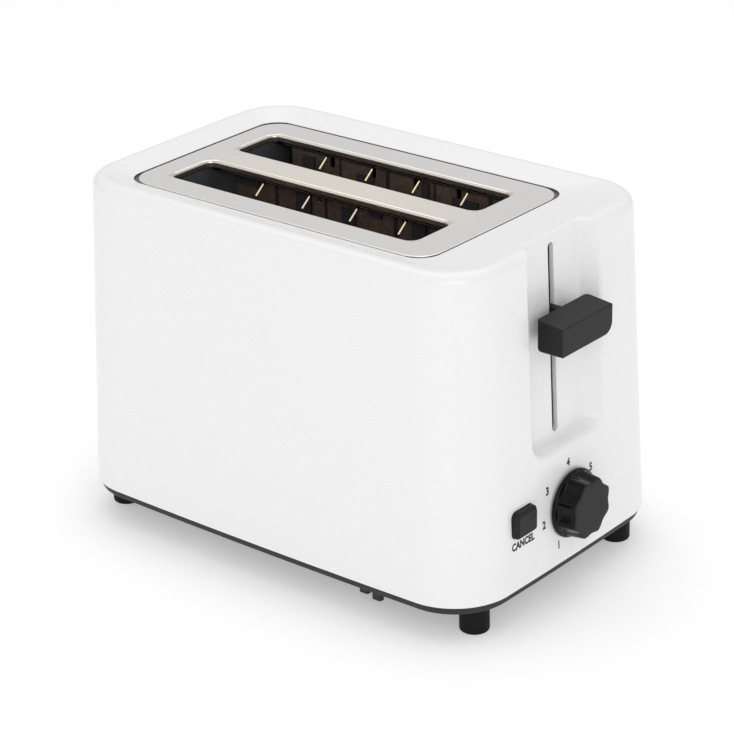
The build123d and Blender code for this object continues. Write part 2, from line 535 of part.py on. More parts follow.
def base_pan():
    """Black floor pan: rim, tray runners, bosses for the cage, board and magnet, vents and cord pegs."""
    pan = extrude(Pos(0, 0, PAN_BOTTOM_Z - SHELL_FOOT_Z) * body_section(SHELL_FOOT_Z, PAN_INSET), PAN_FLOOR)
    pan = fillet(pan.faces().sort_by(Axis.Z)[0].edges(), PAN_EDGE_R)
    seat = extrude(Pos(0, 0, PAN_TOP - SHELL_FOOT_Z) * body_section(SHELL_FOOT_Z, PAN_INSET),
                   SHELL_FOOT_Z - PAN_TOP)
    rim_out = SHELL_WALL + GAP
    low, high = PAN_TOP - CUT, PAN_RIM_TOP_Z
    rim = loft([body_section(low, rim_out), body_section(high, rim_out)])
    rim -= loft([body_section(z, rim_out + PAN_RIM_WALL) for z in (low - CUT, high + CUT)])
    hollow = body_section(SHELL_FOOT_Z, rim_out + PAN_RIM_WALL / 2)
    seat -= extrude(Pos(0, 0, PAN_TOP - SHELL_FOOT_Z) * hollow, 2 * PAN_DROP)
    pan += seat + rim
    inner_x = RUNNER_START - HALF_LENGTH
    half = TRAY_WIDTH / 2 + GAP
    for side in (-1, 1):
        face = sorted((side * half, side * (half + RUNNER_WALL)))
        pan += box((inner_x, TRAY_HIGH_X), face, (PAN_TOP - CUT, PAN_TOP + RUNNER_HEIGHT))
    mouth_half = half + TRAY_MOUTH_SIDE + GAP + SEAT_FIT
    pan -= box((-BODY_LENGTH, inner_x), (-mouth_half, mouth_half), (PAN_TOP, CREST_Z))
    for x, y in frame_screw_places():
        pan += rod(BOSS_R, (x, y, PAN_TOP - CUT), (x, y, FRAME_LOW_Z))
        pan -= rod(SCREW_R + SCREW_FIT, (x, y, PAN_TOP), (x, y, FRAME_LOW_Z + CUT))
    for x, y in post_places():
        pan -= rod(POST_R + GAP, (x, y, SHELL_FOOT_Z), (x, y, CREST_Z))
        pan -= rod(SCREW_R + SCREW_FIT, (x, y, 0), (x, y, SHELL_FOOT_Z + CUT))
        pan -= rod(SCREW_HEAD_R + SCREW_FIT, (x, y, 0), (x, y, PAN_BOTTOM_Z + SCREW_HEAD))
    post_half = BOARD_POST_DEPTH / 2
    for y in board_post_ys():
        pan += box((BOARD_X - BOARD_POST_DEPTH, BOARD_X), (y - post_half, y + post_half),
                   (PAN_TOP - CUT, BOARD_SCREW_Z + BOARD_POST_TOP))
        pan -= rod(SCREW_R + SCREW_FIT, (BOARD_X - BOARD_POST_DEPTH + CUT, y, BOARD_SCREW_Z),
                   (BOARD_X + CUT, y, BOARD_SCREW_Z))
    pan += box((BOARD_X, BOARD_X + BOARD_THICK), (BOARD_LOW_Y, BOARD_HIGH_Y),
               (PAN_TOP - CUT, CONTROL_BOARD_Z[0]))
    seat_x, seat_y = MAGNET_SEAT
    pan += box((ARMATURE_X - seat_x, ARMATURE_X + seat_x), (-seat_y, seat_y), (PAN_TOP - CUT, MAGNET_Z))
    for x, y in mirrored_places(FOOT_X, FOOT_Y):
        pan -= rod(FOOT_SPIGOT_R + SEAT_FIT, (x, y, 0), (x, y, PAN_TOP + CUT))
    pan -= rod(GLAND_R + SEAT_FIT, (*GLAND_PLACE, 0), (*GLAND_PLACE, PAN_TOP + CUT))
    for row in range(VENT_ROWS):
        for column in range(VENT_COLUMNS):
            x = VENT_MARGIN - HALF_LENGTH + column * VENT_PITCH[0]
            y = (row - (VENT_ROWS - 1) / 2) * VENT_PITCH[1]
            vent = Pos(x, y, PAN_BOTTOM_Z - CUT) * SlotOverall(VENT_LENGTH, VENT_WIDTH)
            pan -= extrude(vent, PAN_FLOOR + 2 * CUT)
    width, thick = CORD_PEG_SIZE
    for end_margin, side_margin in CORD_PEG_MARGINS:
        x, y = HALF_LENGTH - end_margin, side_margin - HALF_WIDTH
        peg = box((x - width / 2, x + width / 2), (y - thick / 2, y + thick / 2),
                  (PAN_BOTTOM_Z - CORD_PEG_DROP, PAN_BOTTOM_Z + CUT))
        pan += fillet(peg.edges().filter_by(Axis.Z), CORD_PEG_CORNER_R)
    return pan


def cord_gland():
    """Rubber bush that lines the hole where the mains lead leaves the pan."""
    x, y = GLAND_PLACE
    flange, flange_thick = GLAND_FLANGE
    clip, clip_thick = GLAND_CLIP
    gland = rod(GLAND_R, (x, y, PAN_BOTTOM_Z), (x, y, PAN_TOP + 2 * clip_thick))
    gland += rod(GLAND_R + flange, (x, y, PAN_BOTTOM_Z - flange_thick), (x, y, PAN_BOTTOM_Z))
    gland += rod(GLAND_R + clip, (x, y, PAN_TOP), (x, y, PAN_TOP + clip_thick))
    return gland - rod(GLAND_BORE_R, (x, y, 0), (x, y, CREST_Z))


def feet():
    """Four round feet with a spigot each, set into the pan."""
    group = []
    for x, y in mirrored_places(FOOT_X, FOOT_Y):
        foot = rod(FOOT_R, (x, y, 0), (x, y, PAN_BOTTOM_Z))
        foot = fillet(foot.edges().sort_by(Axis.Z)[:1], FOOT_EDGE_R)
        group.append(foot + rod(FOOT_SPIGOT_R, (x, y, PAN_BOTTOM_Z), (x, y, PAN_TOP)))
    return Compound(group)


def crumb_tray():
    """Folded steel tray that catches the crumbs."""
    low_x = TRAY_HANDLE_DEPTH - HALF_LENGTH
    half = TRAY_WIDTH / 2
    top = TRAY_LOW_Z + TRAY_WALL
    tray = box((low_x, TRAY_HIGH_X), (-half, half), (TRAY_LOW_Z, top))
    inner = half - TRAY_SHEET
    return tray - box((low_x + TRAY_SHEET, TRAY_HIGH_X - TRAY_SHEET), (-inner, inner),
                      (TRAY_LOW_Z + TRAY_SHEET, top + CUT))


def tray_handle():
    """Front of the crumb tray, flush with the end of the housing, with a finger groove under it."""
    half = TRAY_WIDTH / 2 + TRAY_MOUTH_SIDE - GAP
    block = box((-BODY_LENGTH, TRAY_HANDLE_DEPTH - HALF_LENGTH), (-half, half),
                (TRAY_LOW_Z, TRAY_MOUTH_TOP_Z - GAP))
    low, high = (body_section(z, TRAY_HANDLE_INSET) for z in (TRAY_LOW_Z - CUT, TRAY_MOUTH_TOP_Z + CUT))
    depth, half_groove, height = HANDLE_GROOVE
    groove = box((-BODY_LENGTH, depth - HALF_LENGTH), (-half_groove, half_groove), (0, TRAY_LOW_Z + height))
    return (block & loft([low, high])) - groove


def frame_screw_places():
    """Screws that hold the two end frames to bosses of the pan."""
    half = FRAME_FLANGE / 2
    screw_y = FRAME_HALF_WIDTH - FRAME_FOOT_WIDTH / 2
    return [(x, y) for x in (FRAME_LOW_X - half, FRAME_HIGH_X + half) for y in (-screw_y, screw_y)]


def rack_window(side):
    """Upright window that a bread rack passes through, over its whole travel."""
    low = RACK_Z - RACK_HEIGHT - LEVER_DOWN - GAP
    high = RACK_Z + LEVER_UP + GAP
    half = RACK_SHEET / 2 + RACK_WINDOW_FIT
    y = side * SLOT_MID_Y
    return (y - half, y + half), (low, high)


def end_frame(x_in, outwards):
    """Steel end of the heating cage, standing on two folded flanges."""
    face = sorted((x_in, x_in + outwards * FRAME_SHEET))
    frame = box(face, (-FRAME_HALF_WIDTH, FRAME_HALF_WIDTH), (FRAME_LOW_Z, FRAME_TOP_Z))
    top = [e for e in frame.edges().filter_by(Axis.X) if e.center().Z > CREST_Z / 2]
    frame = chamfer(top, FRAME_CHAMFER)
    foot = sorted((x_in, x_in + outwards * FRAME_FLANGE))
    for side in (-1, 1):
        span = sorted((side * (FRAME_HALF_WIDTH - FRAME_FOOT_WIDTH), side * FRAME_HALF_WIDTH))
        frame += box(foot, span, (FRAME_LOW_Z, FRAME_LOW_Z + FRAME_SHEET))
        y_span, z_span = rack_window(side)
        frame -= box((x_in - 2 * FRAME_SHEET, x_in + 2 * FRAME_SHEET), y_span, z_span)
    for x, y in frame_screw_places():
        frame -= rod(SCREW_R + SCREW_FIT, (x, y, FRAME_LOW_Z - CUT), (x, y, FRAME_LOW_Z + 2 * CUT))
    return frame


def end_frame_lever():
    """End frame beside the lever, with the two folded lugs that hold the guide rod and the spring."""
    frame = end_frame(FRAME_HIGH_X, 1)
    high_y = ROD_Y + LUG_HALF_WIDTH
    for z, low_y in ((ROD_LOW_LUG_Z, ROD_Y - LUG_HALF_WIDTH), (ROD_HIGH_LUG_Z, -high_y)):
        frame += box((FRAME_HIGH_X, ROD_X + ROD_LUG_MARGIN), (low_y, high_y), (z, z + FRAME_SHEET))
    return frame


def reflector(side):
    """Sheet that keeps the heat off one long side of the housing."""
    y = side * REFLECTOR_Y
    span = sorted((y, y + side * REFLECTOR_SHEET))
    sheet = box((FRAME_LOW_X, FRAME_HIGH_X), span, (REFLECTOR_LOW_Z, REFLECTOR_TOP_Z))
    for z in (REFLECTOR_LOW_Z, REFLECTOR_TOP_Z - REFLECTOR_SHEET):
        sheet += box((FRAME_LOW_X, FRAME_HIGH_X), sorted((y, y + side * REFLECTOR_LIP)),
                     (z, z + REFLECTOR_SHEET))
    return sheet


def heater_board(y):
    """Mica board with notched edges, held at its ends by tabs between the two frames."""
    low_x, high_x = FRAME_LOW_X + BOARD_END_GAP, FRAME_HIGH_X - BOARD_END_GAP
    half = BOARD_SHEET / 2
    board = box((low_x, high_x), (y - half, y + half), (BOARD_LOW_Z, BOARD_TOP_Z))
    for z in (BOARD_LOW_Z + BOARD_TAB_EDGE, BOARD_TOP_Z - BOARD_TAB_EDGE - BOARD_TAB_HEIGHT):
        board += box((FRAME_LOW_X, FRAME_HIGH_X), (y - half, y + half), (z, z + BOARD_TAB_HEIGHT))
    width, depth = BOARD_NOTCH
    for step in range(1, BOARD_NOTCHES + 1):
        x = low_x + step * (high_x - low_x) / (BOARD_NOTCHES + 1)
        board -= box((x - width / 2, x + width / 2), (y - CUT, y + CUT),
                     (BOARD_TOP_Z - depth, BOARD_TOP_Z + CUT))
    return board


def ribbon_run(y_low, y_high):
    """Resistance ribbon laid to and fro across a board's face."""
    end_gap = BOARD_END_GAP + RIBBON_END_GAP
    low_x, high_x = FRAME_LOW_X + end_gap, FRAME_HIGH_X - end_gap
    first = BOARD_LOW_Z + RIBBON_LOW_GAP
    count = int((BOARD_TOP_Z - RIBBON_TOP_GAP - first) / RIBBON_PITCH) + 1
    run = box((low_x, high_x), (y_low, y_high), (first, first + RIBBON_WIDTH))
    for i in range(1, count):
        z = first + i * RIBBON_PITCH
        run += box((low_x, high_x), (y_low, y_high), (z, z + RIBBON_WIDTH))
        turn_x = high_x if i % 2 else low_x + RIBBON_WIDTH
        run += box((turn_x - RIBBON_WIDTH, turn_x), (y_low, y_high), (z - RIBBON_PITCH, z + RIBBON_WIDTH))
    return run


def heating_ribbon(board_y, sides):
    """Ribbon on the faces of a board that look into a slot."""
    half = BOARD_SHEET / 2
    runs = []
    for side in sides:
        faces = sorted((board_y + side * half, board_y + side * (half + RIBBON_THICK)))
        runs.append(ribbon_run(*faces))
    return runs[0] if len(runs) == 1 else Compound(runs)


def guard_side(slot_side, wall_side):
    """One grille of upright wires that keeps the bread off a heater board."""
    middle = slot_side * SLOT_MID_Y
    rail_y = middle + wall_side * (SLOT_WIDTH / 2 + GUARD_RAIL_OUT)
    wire_y = middle + wall_side * (SLOT_WIDTH / 2 - GUARD_INSET)
    grille = rod(WIRE_R, (FRAME_LOW_X, rail_y, GUARD_TOP_Z), (FRAME_HIGH_X, rail_y, GUARD_TOP_Z))
    grille += rod(WIRE_R, (FRAME_LOW_X, rail_y, GUARD_LOW_Z), (FRAME_HIGH_X, rail_y, GUARD_LOW_Z))
    for i in range(GUARD_COUNT):
        x = GUARD_MID_X + (i - (GUARD_COUNT - 1) / 2) * GUARD_PITCH
        top, low = GUARD_TOP_Z - GUARD_FLARE, GUARD_LOW_Z + GUARD_FLARE
        grille += rod(WIRE_R, (x, rail_y, GUARD_TOP_Z), (x, wire_y, top))
        grille += rod(WIRE_R, (x, wire_y, top), (x, wire_y, low))
        grille += rod(WIRE_R, (x, wire_y, low), (x, rail_y, GUARD_LOW_Z))
        grille += Pos(x, wire_y, top) * Sphere(WIRE_R)
        grille += Pos(x, wire_y, low) * Sphere(WIRE_R)
    return grille


def guard_wires(slot_side):
    """Both grilles of one bread slot."""
    return Compound([guard_side(slot_side, wall) for wall in (-1, 1)])


def bread_rack(side):
    """Steel rail that the bread stands on, with cross fingers."""
    y = side * SLOT_MID_Y
    half = RACK_SHEET / 2
    rail = box((FRAME_LOW_X - FRAME_SHEET - RACK_TAIL, BRACKET_X), (y - half, y + half),
               (RACK_Z - RACK_HEIGHT, RACK_Z))
    low_x, high_x = FRAME_LOW_X + RACK_FINGER_MARGIN, FRAME_HIGH_X - RACK_FINGER_MARGIN
    half_finger = RACK_FINGER_WIDTH / 2
    for i in range(RACK_FINGER_COUNT):
        x = low_x + i * (high_x - low_x) / (RACK_FINGER_COUNT - 1)
        rail += box((x - half_finger, x + half_finger), (y - RACK_FINGER_REACH, y + RACK_FINGER_REACH),
                    (RACK_Z - RACK_SHEET, RACK_Z))
    return rail


def carriage_bracket():
    """Pressed bracket that ties both racks to the lever and slides on the guide rod."""
    face = (BRACKET_X, BRACKET_X + BRACKET_SHEET)
    reach = (BRACKET_X, BRACKET_X + LUG_REACH)
    tongue = (-TONGUE_HALF_WIDTH, TONGUE_HALF_WIDTH)
    rod_span = (ROD_Y - LUG_HALF_WIDTH, ROD_Y + LUG_HALF_WIDTH)
    spring_span = (-ROD_Y - LUG_HALF_WIDTH, -ROD_Y + LUG_HALF_WIDTH)
    bracket = box(face, (-BRACKET_HALF_WIDTH, BRACKET_HALF_WIDTH), (BRACKET_LOW_Z, RACK_Z + 3 * CUT))
    bracket += box(face, (-RISER_HALF_WIDTH, RISER_HALF_WIDTH), (BRACKET_LOW_Z, SPRING_HOOK_Z))
    bracket += box(face, tongue, (BRACKET_LOW_Z, RISER_TOP_Z))
    for z in (BRACKET_LOW_Z, SPRING_HOOK_Z - LUG_SPACE):
        bracket += box(reach, rod_span, (z, z + BRACKET_SHEET))
    bracket += box(reach, spring_span, (SPRING_HOOK_Z - BRACKET_SHEET, SPRING_HOOK_Z))
    top = ARMATURE_Z + ARMATURE_THICK
    bracket += box((BRACKET_X, ARMATURE_X + ARMATURE_WIDTH / 2), tongue, (top, top + BRACKET_SHEET))
    return bracket - rod(ROD_R + RUN_FIT, (ROD_X, ROD_Y, 0), (ROD_X, ROD_Y, CREST_Z))


def return_spring():
    """Spring between the upper lug of the frame and the carriage."""
    low = SPRING_HOOK_Z + SPRING_WIRE_R
    height = ROD_HIGH_LUG_Z - SPRING_WIRE_R - low
    path = Helix(pitch=height / SPRING_TURNS, height=height, radius=SPRING_R)
    start = path @ 0
    section = Plane(origin=start, z_dir=path % 0) * Circle(SPRING_WIRE_R)
    return Pos(ROD_X, -ROD_Y, low) * sweep(section, path=path)


def guide_rod():
    """Polished rod that the carriage slides on, between the frame's two lugs."""
    return rod(ROD_R, (ROD_X, ROD_Y, ROD_LOW_LUG_Z + FRAME_SHEET), (ROD_X, ROD_Y, ROD_HIGH_LUG_Z))


def lever_arm():
    """Flat steel arm from the carriage, through the channel slot, into the knob."""
    half = ARM_SHEET / 2
    return box((BRACKET_X + BRACKET_SHEET, KNOB_SOCKET_END), (-half, half),
               (KNOB_MID_Z - ARM_HEIGHT / 2, KNOB_MID_Z + ARM_HEIGHT / 2))


def lever_knob():
    """Black finger bar with its neck."""
    half = KNOB_WIDTH / 2
    profile = Polyline((KNOB_LOW_X, KNOB_LOW_Z), (KNOB_HIGH_X, KNOB_LOW_Z),
                       (KNOB_HIGH_X, KNOB_TOP_Z - KNOB_TOP_FALL), (KNOB_LOW_X, KNOB_TOP_Z), close=True)
    bar = extrude(Plane.XZ * make_face(profile), half, both=True)
    for side, radius in ((1, KNOB_RIGHT_R), (-1, KNOB_LEFT_R)):
        lower = [e for e in bar.edges().filter_by(Axis.X) if e.center().Z < KNOB_LOW_Z + CUT
                 and side * e.center().Y > half - CUT]
        bar = fillet(lower, radius)
    back = [e for e in bar.edges().filter_by(Axis.Z) if e.center().X < KNOB_LOW_X + CUT]
    bar = fillet(back, KNOB_BACK_R)
    front = [e for e in bar.faces().sort_by(Axis.X)[-1].edges()]
    rim = [e for e in bar.faces().sort_by(Axis.Z)[-1].edges() if e.center().X < KNOB_HIGH_X - CUT]
    bar = fillet(front + rim, KNOB_EDGE_R)
    neck_half = KNOB_NECK_WIDTH / 2
    bar += box((KNOB_NECK_X, KNOB_LOW_X + CUT), (-neck_half, neck_half),
               (KNOB_LOW_Z + KNOB_NECK_LOW, KNOB_TOP_Z - KNOB_NECK_DROP))
    socket = ARM_SHEET / 2 + SEAT_FIT
    half_height = ARM_HEIGHT / 2 + SEAT_FIT
    return bar - box((KNOB_NECK_X - CUT, KNOB_SOCKET_END), (-socket, socket),
                     (KNOB_MID_Z - half_height, KNOB_MID_Z + half_height))


def armature_plate():
    """Soft iron plate that the magnet holds while the toast browns."""
    return box((ARMATURE_X - ARMATURE_WIDTH / 2, ARMATURE_X + ARMATURE_WIDTH / 2),
               (-ARMATURE_LENGTH / 2, ARMATURE_LENGTH / 2), (ARMATURE_Z, ARMATURE_Z + ARMATURE_THICK))


def magnet_core():
    """U-shaped core whose two poles end just under the lowered armature."""
    pole_top = ARMATURE_Z - LEVER_DOWN - GAP
    half_x, half_y = ARMATURE_WIDTH / 2, ARMATURE_LENGTH / 2
    core = box((ARMATURE_X - half_x, ARMATURE_X + half_x), (-half_y, half_y),
               (MAGNET_Z, MAGNET_Z + MAGNET_LEG))
    for side in (-1, 1):
        leg = sorted((side * half_y, side * (half_y - MAGNET_LEG)))
        core += box((ARMATURE_X - half_x, ARMATURE_X + half_x), leg, (MAGNET_Z, pole_top))
    return core


def magnet_coil():
    """Wound bobbin on one leg of the core."""
    half_x, leg_y = ARMATURE_WIDTH / 2, (MAGNET_LEG - ARMATURE_LENGTH) / 2
    low, high = MAGNET_Z + MAGNET_LEG, ARMATURE_Z - LEVER_DOWN - COIL_TOP_GAP

    def ring(grow, z_low, z_high):
        """Block round the leg, larger by grow on every side."""
        x, y = half_x + grow, MAGNET_LEG / 2 + grow
        return box((ARMATURE_X - x, ARMATURE_X + x), (leg_y - y, leg_y + y), (z_low, z_high))

    coil = ring(COIL_WOUND, low, high)
    coil += ring(COIL_FLANGE, low, low + COIL_CHEEK) + ring(COIL_FLANGE, high - COIL_CHEEK, high)
    return coil - ring(SEAT_FIT, 0, CREST_Z)


def board_post_ys():
    """Where the pan's two posts carry the circuit board."""
    return (BOARD_LOW_Y + BOARD_SCREW_MARGIN, BOARD_HIGH_Y - BOARD_SCREW_MARGIN)


def circuit_board():
    """Timer board, standing behind the dial and the cancel button."""
    board = box((BOARD_X, BOARD_X + BOARD_THICK), (BOARD_LOW_Y, BOARD_HIGH_Y), CONTROL_BOARD_Z)
    for y in board_post_ys():
        board -= rod(SCREW_R + SCREW_FIT, (BOARD_X - CUT, y, BOARD_SCREW_Z),
                     (BOARD_X + BOARD_THICK + CUT, y, BOARD_SCREW_Z))
    return board


def timer_parts():
    """Chip, resistor and capacitor soldered to the timer board."""
    face = BOARD_X + BOARD_THICK
    parts = []
    for size, place in ((CHIP_SIZE, CHIP_PLACE), (RESISTOR_SIZE, RESISTOR_PLACE)):
        height, width, length = size
        y, z = place[0], DIAL_Z + place[1]
        parts.append(box((face, face + height), (y - width / 2, y + width / 2),
                         (z - length / 2, z + length / 2)))
    radius, height = CAPACITOR_SIZE
    y, z = CAPACITOR_PLACE[0], DIAL_Z + CAPACITOR_PLACE[1]
    parts.append(rod(radius, (face, y, z), (face + height, y, z)))
    return Compound(parts)


def browning_pot():
    """Potentiometer that sets the browning time."""
    face = BOARD_X + BOARD_THICK
    pot = rod(POT_R, (face, 0, DIAL_Z), (face + POT_DEPTH, 0, DIAL_Z))
    pot += rod(POT_BUSH_R, (face + POT_DEPTH, 0, DIAL_Z), (POT_BUSH_END_X, 0, DIAL_Z))
    return pot - rod(SHAFT_R + RUN_FIT, (face + POT_BACK, 0, DIAL_Z), (POT_BUSH_END_X + CUT, 0, DIAL_Z))


def dial_shaft():
    """Shaft from the potentiometer into the dial."""
    return rod(SHAFT_R, (BOARD_X + BOARD_THICK + POT_BACK + GAP, 0, DIAL_Z), (SHAFT_END_X, 0, DIAL_Z))


def dial_knob():
    """Fluted dial with a round flange close to the housing."""
    flange_top = DIAL_FLANGE_X + DIAL_FLANGE_THICK
    flange = rod(DIAL_FLANGE_R, (DIAL_FLANGE_X, 0, DIAL_Z), (flange_top, 0, DIAL_Z))
    flange = fillet(flange.edges().sort_by(Axis.X)[-1:], DIAL_FLANGE_THICK * 0.6)
    body = rod(DIAL_FACE_R, (flange_top - CUT / 2, 0, DIAL_Z), (DIAL_FACE_X, 0, DIAL_Z))
    chord = DIAL_FACE_R * math.sin(math.pi / DIAL_FLUTES)
    cut_r = (chord ** 2 + DIAL_FLUTE_DEPTH ** 2) / (2 * DIAL_FLUTE_DEPTH)
    reach = DIAL_FACE_R * math.cos(math.pi / DIAL_FLUTES) - DIAL_FLUTE_DEPTH + cut_r
    for i in range(DIAL_FLUTES):
        turn = 2 * math.pi * i / DIAL_FLUTES
        y, z = reach * math.cos(turn), DIAL_Z + reach * math.sin(turn)
        body -= rod(cut_r, (flange_top - CUT, y, z), (DIAL_FACE_X + CUT, y, z))
    body = fillet(body.edges().filter_by(Axis.X), DIAL_RIDGE_R)
    body = fillet(body.faces().sort_by(Axis.X)[-1].edges(), DIAL_FACE_EDGE_R)
    knob = flange + body + rod(DIAL_HUB_R, (DIAL_HUB_X, 0, DIAL_Z), (DIAL_FLANGE_X + CUT, 0, DIAL_Z))
    return knob - rod(SHAFT_R + RUN_FIT, (DIAL_HUB_X - CUT, 0, DIAL_Z), (SHAFT_END_X, 0, DIAL_Z))


def cancel_button():
    """Square button with a retaining flange behind the wall and a stem to its switch."""
    wall_in = end_face_x(BUTTON_Z) - FOOT_END_BOW - SHELL_WALL
    flange_x = wall_in - 2 * GAP
    back_x = flange_x - BUTTON_FLANGE
    cap = Pos(back_x, 0, 0) * extrude(button_outline(), BUTTON_FACE_X - back_x)
    cap = chamfer(cap.faces().sort_by(Axis.X)[-1].edges(), BUTTON_CHAMFER)
    cap += Pos(back_x, 0, 0) * extrude(button_outline(BUTTON_FLANGE), BUTTON_FLANGE)
    stem_end = BOARD_X + BOARD_THICK + SWITCH_DEPTH + BUTTON_TRAVEL + GAP
    return cap + rod(BUTTON_STEM_R, (stem_end, BUTTON_Y, BUTTON_Z), (flange_x, BUTTON_Y, BUTTON_Z))


def cancel_switch():
    """Push switch on the board behind the cancel button."""
    face, half = BOARD_X + BOARD_THICK, SWITCH_SIZE / 2
    radius, length = SWITCH_PLUNGER
    body = box((face, face + SWITCH_DEPTH - length), (BUTTON_Y - half, BUTTON_Y + half),
               (BUTTON_Z - half, BUTTON_Z + half))
    return body + rod(radius, (face, BUTTON_Y, BUTTON_Z), (face + SWITCH_DEPTH, BUTTON_Y, BUTTON_Z))


def switch_contacts():
    """Two brass leaves beside the magnet that the lowered carriage closes."""
    width, thick, height = CONTACT_LEAF
    foot_width, foot_thick = CONTACT_FOOT
    span = (ARMATURE_X - width / 2, ARMATURE_X + width / 2)
    leaves = []
    for y in CONTACT_YS:
        foot = box(span, (y - foot_width / 2, y + foot_width / 2), (PAN_TOP, PAN_TOP + foot_thick))
        leaves.append(foot + box(span, (y - thick / 2, y + thick / 2), (PAN_TOP, PAN_TOP + height)))
    return Compound(leaves)


def terminal_block():
    """Block where the mains lead meets the inner wiring."""
    length, width, height = TERMINAL_SIZE
    x, y = GLAND_PLACE[0] + TERMINAL_OFFSET[0], GLAND_PLACE[1] + TERMINAL_OFFSET[1]
    block = box((x - length / 2, x + length / 2), (y - width / 2, y + width / 2),
                (PAN_TOP, PAN_TOP + height))
    wire_z = PAN_TOP + 2 * TERMINAL_SCREW_R
    for way in (x - TERMINAL_PITCH / 2, x + TERMINAL_PITCH / 2):
        block -= rod(TERMINAL_SCREW_R, (way, y, wire_z + CUT), (way, y, PAN_TOP + height + CUT))
        block -= rod(TERMINAL_WIRE_R, (way, y - width / 2 - CUT, wire_z), (way, y + width / 2 + CUT, wire_z))
    return block


def screw(head, tip):
    """Round-headed screw whose shank runs from the head's seat to its tip."""
    line = (Vector(*tip) - Vector(*head)).normalized()
    under = Vector(*head) - line * SCREW_HEAD
    top = rod(SCREW_HEAD_R, tuple(under), head)
    drive = rod(SCREW_DRIVE_R, tuple(under - line * CUT), tuple(under + line * SCREW_HEAD * 0.6))
    return top - drive + rod(SCREW_R, head, tip)


def base_screws():
    """Four screws from below through the pan into the shell's posts."""
    seat = PAN_BOTTOM_Z + SCREW_HEAD
    tip = SHELL_FOOT_Z + SHELL_SCREW_REACH
    return Compound([screw((x, y, seat), (x, y, tip)) for x, y in post_places()])


def frame_screws():
    """Four screws that hold the end frames to the pan."""
    seat = FRAME_LOW_Z + FRAME_SHEET
    return Compound([screw((x, y, seat), (x, y, PAN_TOP + CUT)) for x, y in frame_screw_places()])


def board_screws():
    """Two screws that hold the circuit board to its posts."""
    seat = BOARD_X + BOARD_THICK
    tip = BOARD_X - BOARD_POST_DEPTH + 2 * CUT
    return Compound([screw((seat, y, BOARD_SCREW_Z), (tip, y, BOARD_SCREW_Z)) for y in board_post_ys()])


NODES = {
    "housing_shell": housing_shell,
    "top_plate": top_plate,
    "base_pan": base_pan,
    "cord_gland": cord_gland,
    "feet": feet,
    "crumb_tray": crumb_tray,
    "tray_handle": tray_handle,
    "end_frame_far": lambda: end_frame(FRAME_LOW_X, -1),
    "end_frame_lever": end_frame_lever,
    "reflector_front": lambda: reflector(-1),
    "reflector_rear": lambda: reflector(1),
    "heater_board_front": lambda: heater_board(-BOARD_OUTER_Y),
    "heater_board_centre": lambda: heater_board(0),
    "heater_board_rear": lambda: heater_board(BOARD_OUTER_Y),
    "heating_ribbon_front": lambda: heating_ribbon(-BOARD_OUTER_Y, (1,)),
    "heating_ribbon_centre": lambda: heating_ribbon(0, (-1, 1)),
    "heating_ribbon_rear": lambda: heating_ribbon(BOARD_OUTER_Y, (-1,)),
    "guard_wires_front": lambda: guard_wires(-1),
    "guard_wires_rear": lambda: guard_wires(1),
    "bread_rack_front": lambda: bread_rack(-1),
    "bread_rack_rear": lambda: bread_rack(1),
    "carriage_bracket": carriage_bracket,
    "guide_rod": guide_rod,
    "return_spring": return_spring,
    "lever_arm": lever_arm,
    "lever_knob": lever_knob,
    "armature_plate": armature_plate,
    "magnet_core": magnet_core,
    "magnet_coil": magnet_coil,
    "circuit_board": circuit_board,
    "timer_parts": timer_parts,
    "browning_pot": browning_pot,
    "dial_shaft": dial_shaft,
    "dial_knob": dial_knob,
    "cancel_button": cancel_button,
    "cancel_switch": cancel_switch,
    "switch_contacts": switch_contacts,
    "terminal_block": terminal_block,
    "base_screws": base_screws,
    "frame_screws": frame_screws,
    "board_screws": board_screws,
}

if __name__ == "__main__":
    os.makedirs("parts", exist_ok=True)
    for name, make in NODES.items():
        export_step(Pos(-X_SHIFT, 0, 0) * make(), f"parts/{name}.step")
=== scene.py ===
"""Looks of a two-slice pop-up toaster, built round its CAD model.

Metres, +Z up. +X points to the end with the lever and the dial, -Y is the plain long side. The CAD nodes keep their
shapes and get their finishes here. The fluted dial, a copy of the coil spring, the clips and straps on the heater
boards and the printed marks are made here; all but the spring copy move with the CAD bodies.
"""
from __future__ import annotations

import logging
import math
from dataclasses import dataclass, field
from enum import Enum

import bpy
from mathutils import Matrix, Vector

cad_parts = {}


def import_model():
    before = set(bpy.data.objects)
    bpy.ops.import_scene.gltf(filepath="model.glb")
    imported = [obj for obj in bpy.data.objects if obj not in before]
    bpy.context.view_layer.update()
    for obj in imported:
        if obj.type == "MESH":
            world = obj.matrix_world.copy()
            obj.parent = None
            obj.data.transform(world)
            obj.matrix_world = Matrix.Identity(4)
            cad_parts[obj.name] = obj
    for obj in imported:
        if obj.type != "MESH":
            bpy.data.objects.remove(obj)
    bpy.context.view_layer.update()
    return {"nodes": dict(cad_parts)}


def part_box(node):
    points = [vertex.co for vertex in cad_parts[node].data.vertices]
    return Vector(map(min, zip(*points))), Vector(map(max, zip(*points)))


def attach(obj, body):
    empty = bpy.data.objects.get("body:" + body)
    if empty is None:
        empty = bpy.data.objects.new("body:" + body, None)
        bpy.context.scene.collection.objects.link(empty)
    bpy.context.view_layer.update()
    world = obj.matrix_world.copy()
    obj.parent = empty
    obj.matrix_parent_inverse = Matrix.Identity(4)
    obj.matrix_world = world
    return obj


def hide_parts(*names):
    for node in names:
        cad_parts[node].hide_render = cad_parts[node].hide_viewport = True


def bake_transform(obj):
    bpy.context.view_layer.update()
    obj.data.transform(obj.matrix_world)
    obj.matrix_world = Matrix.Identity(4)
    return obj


LOG = logging.getLogger("toaster")
MM = 0.001

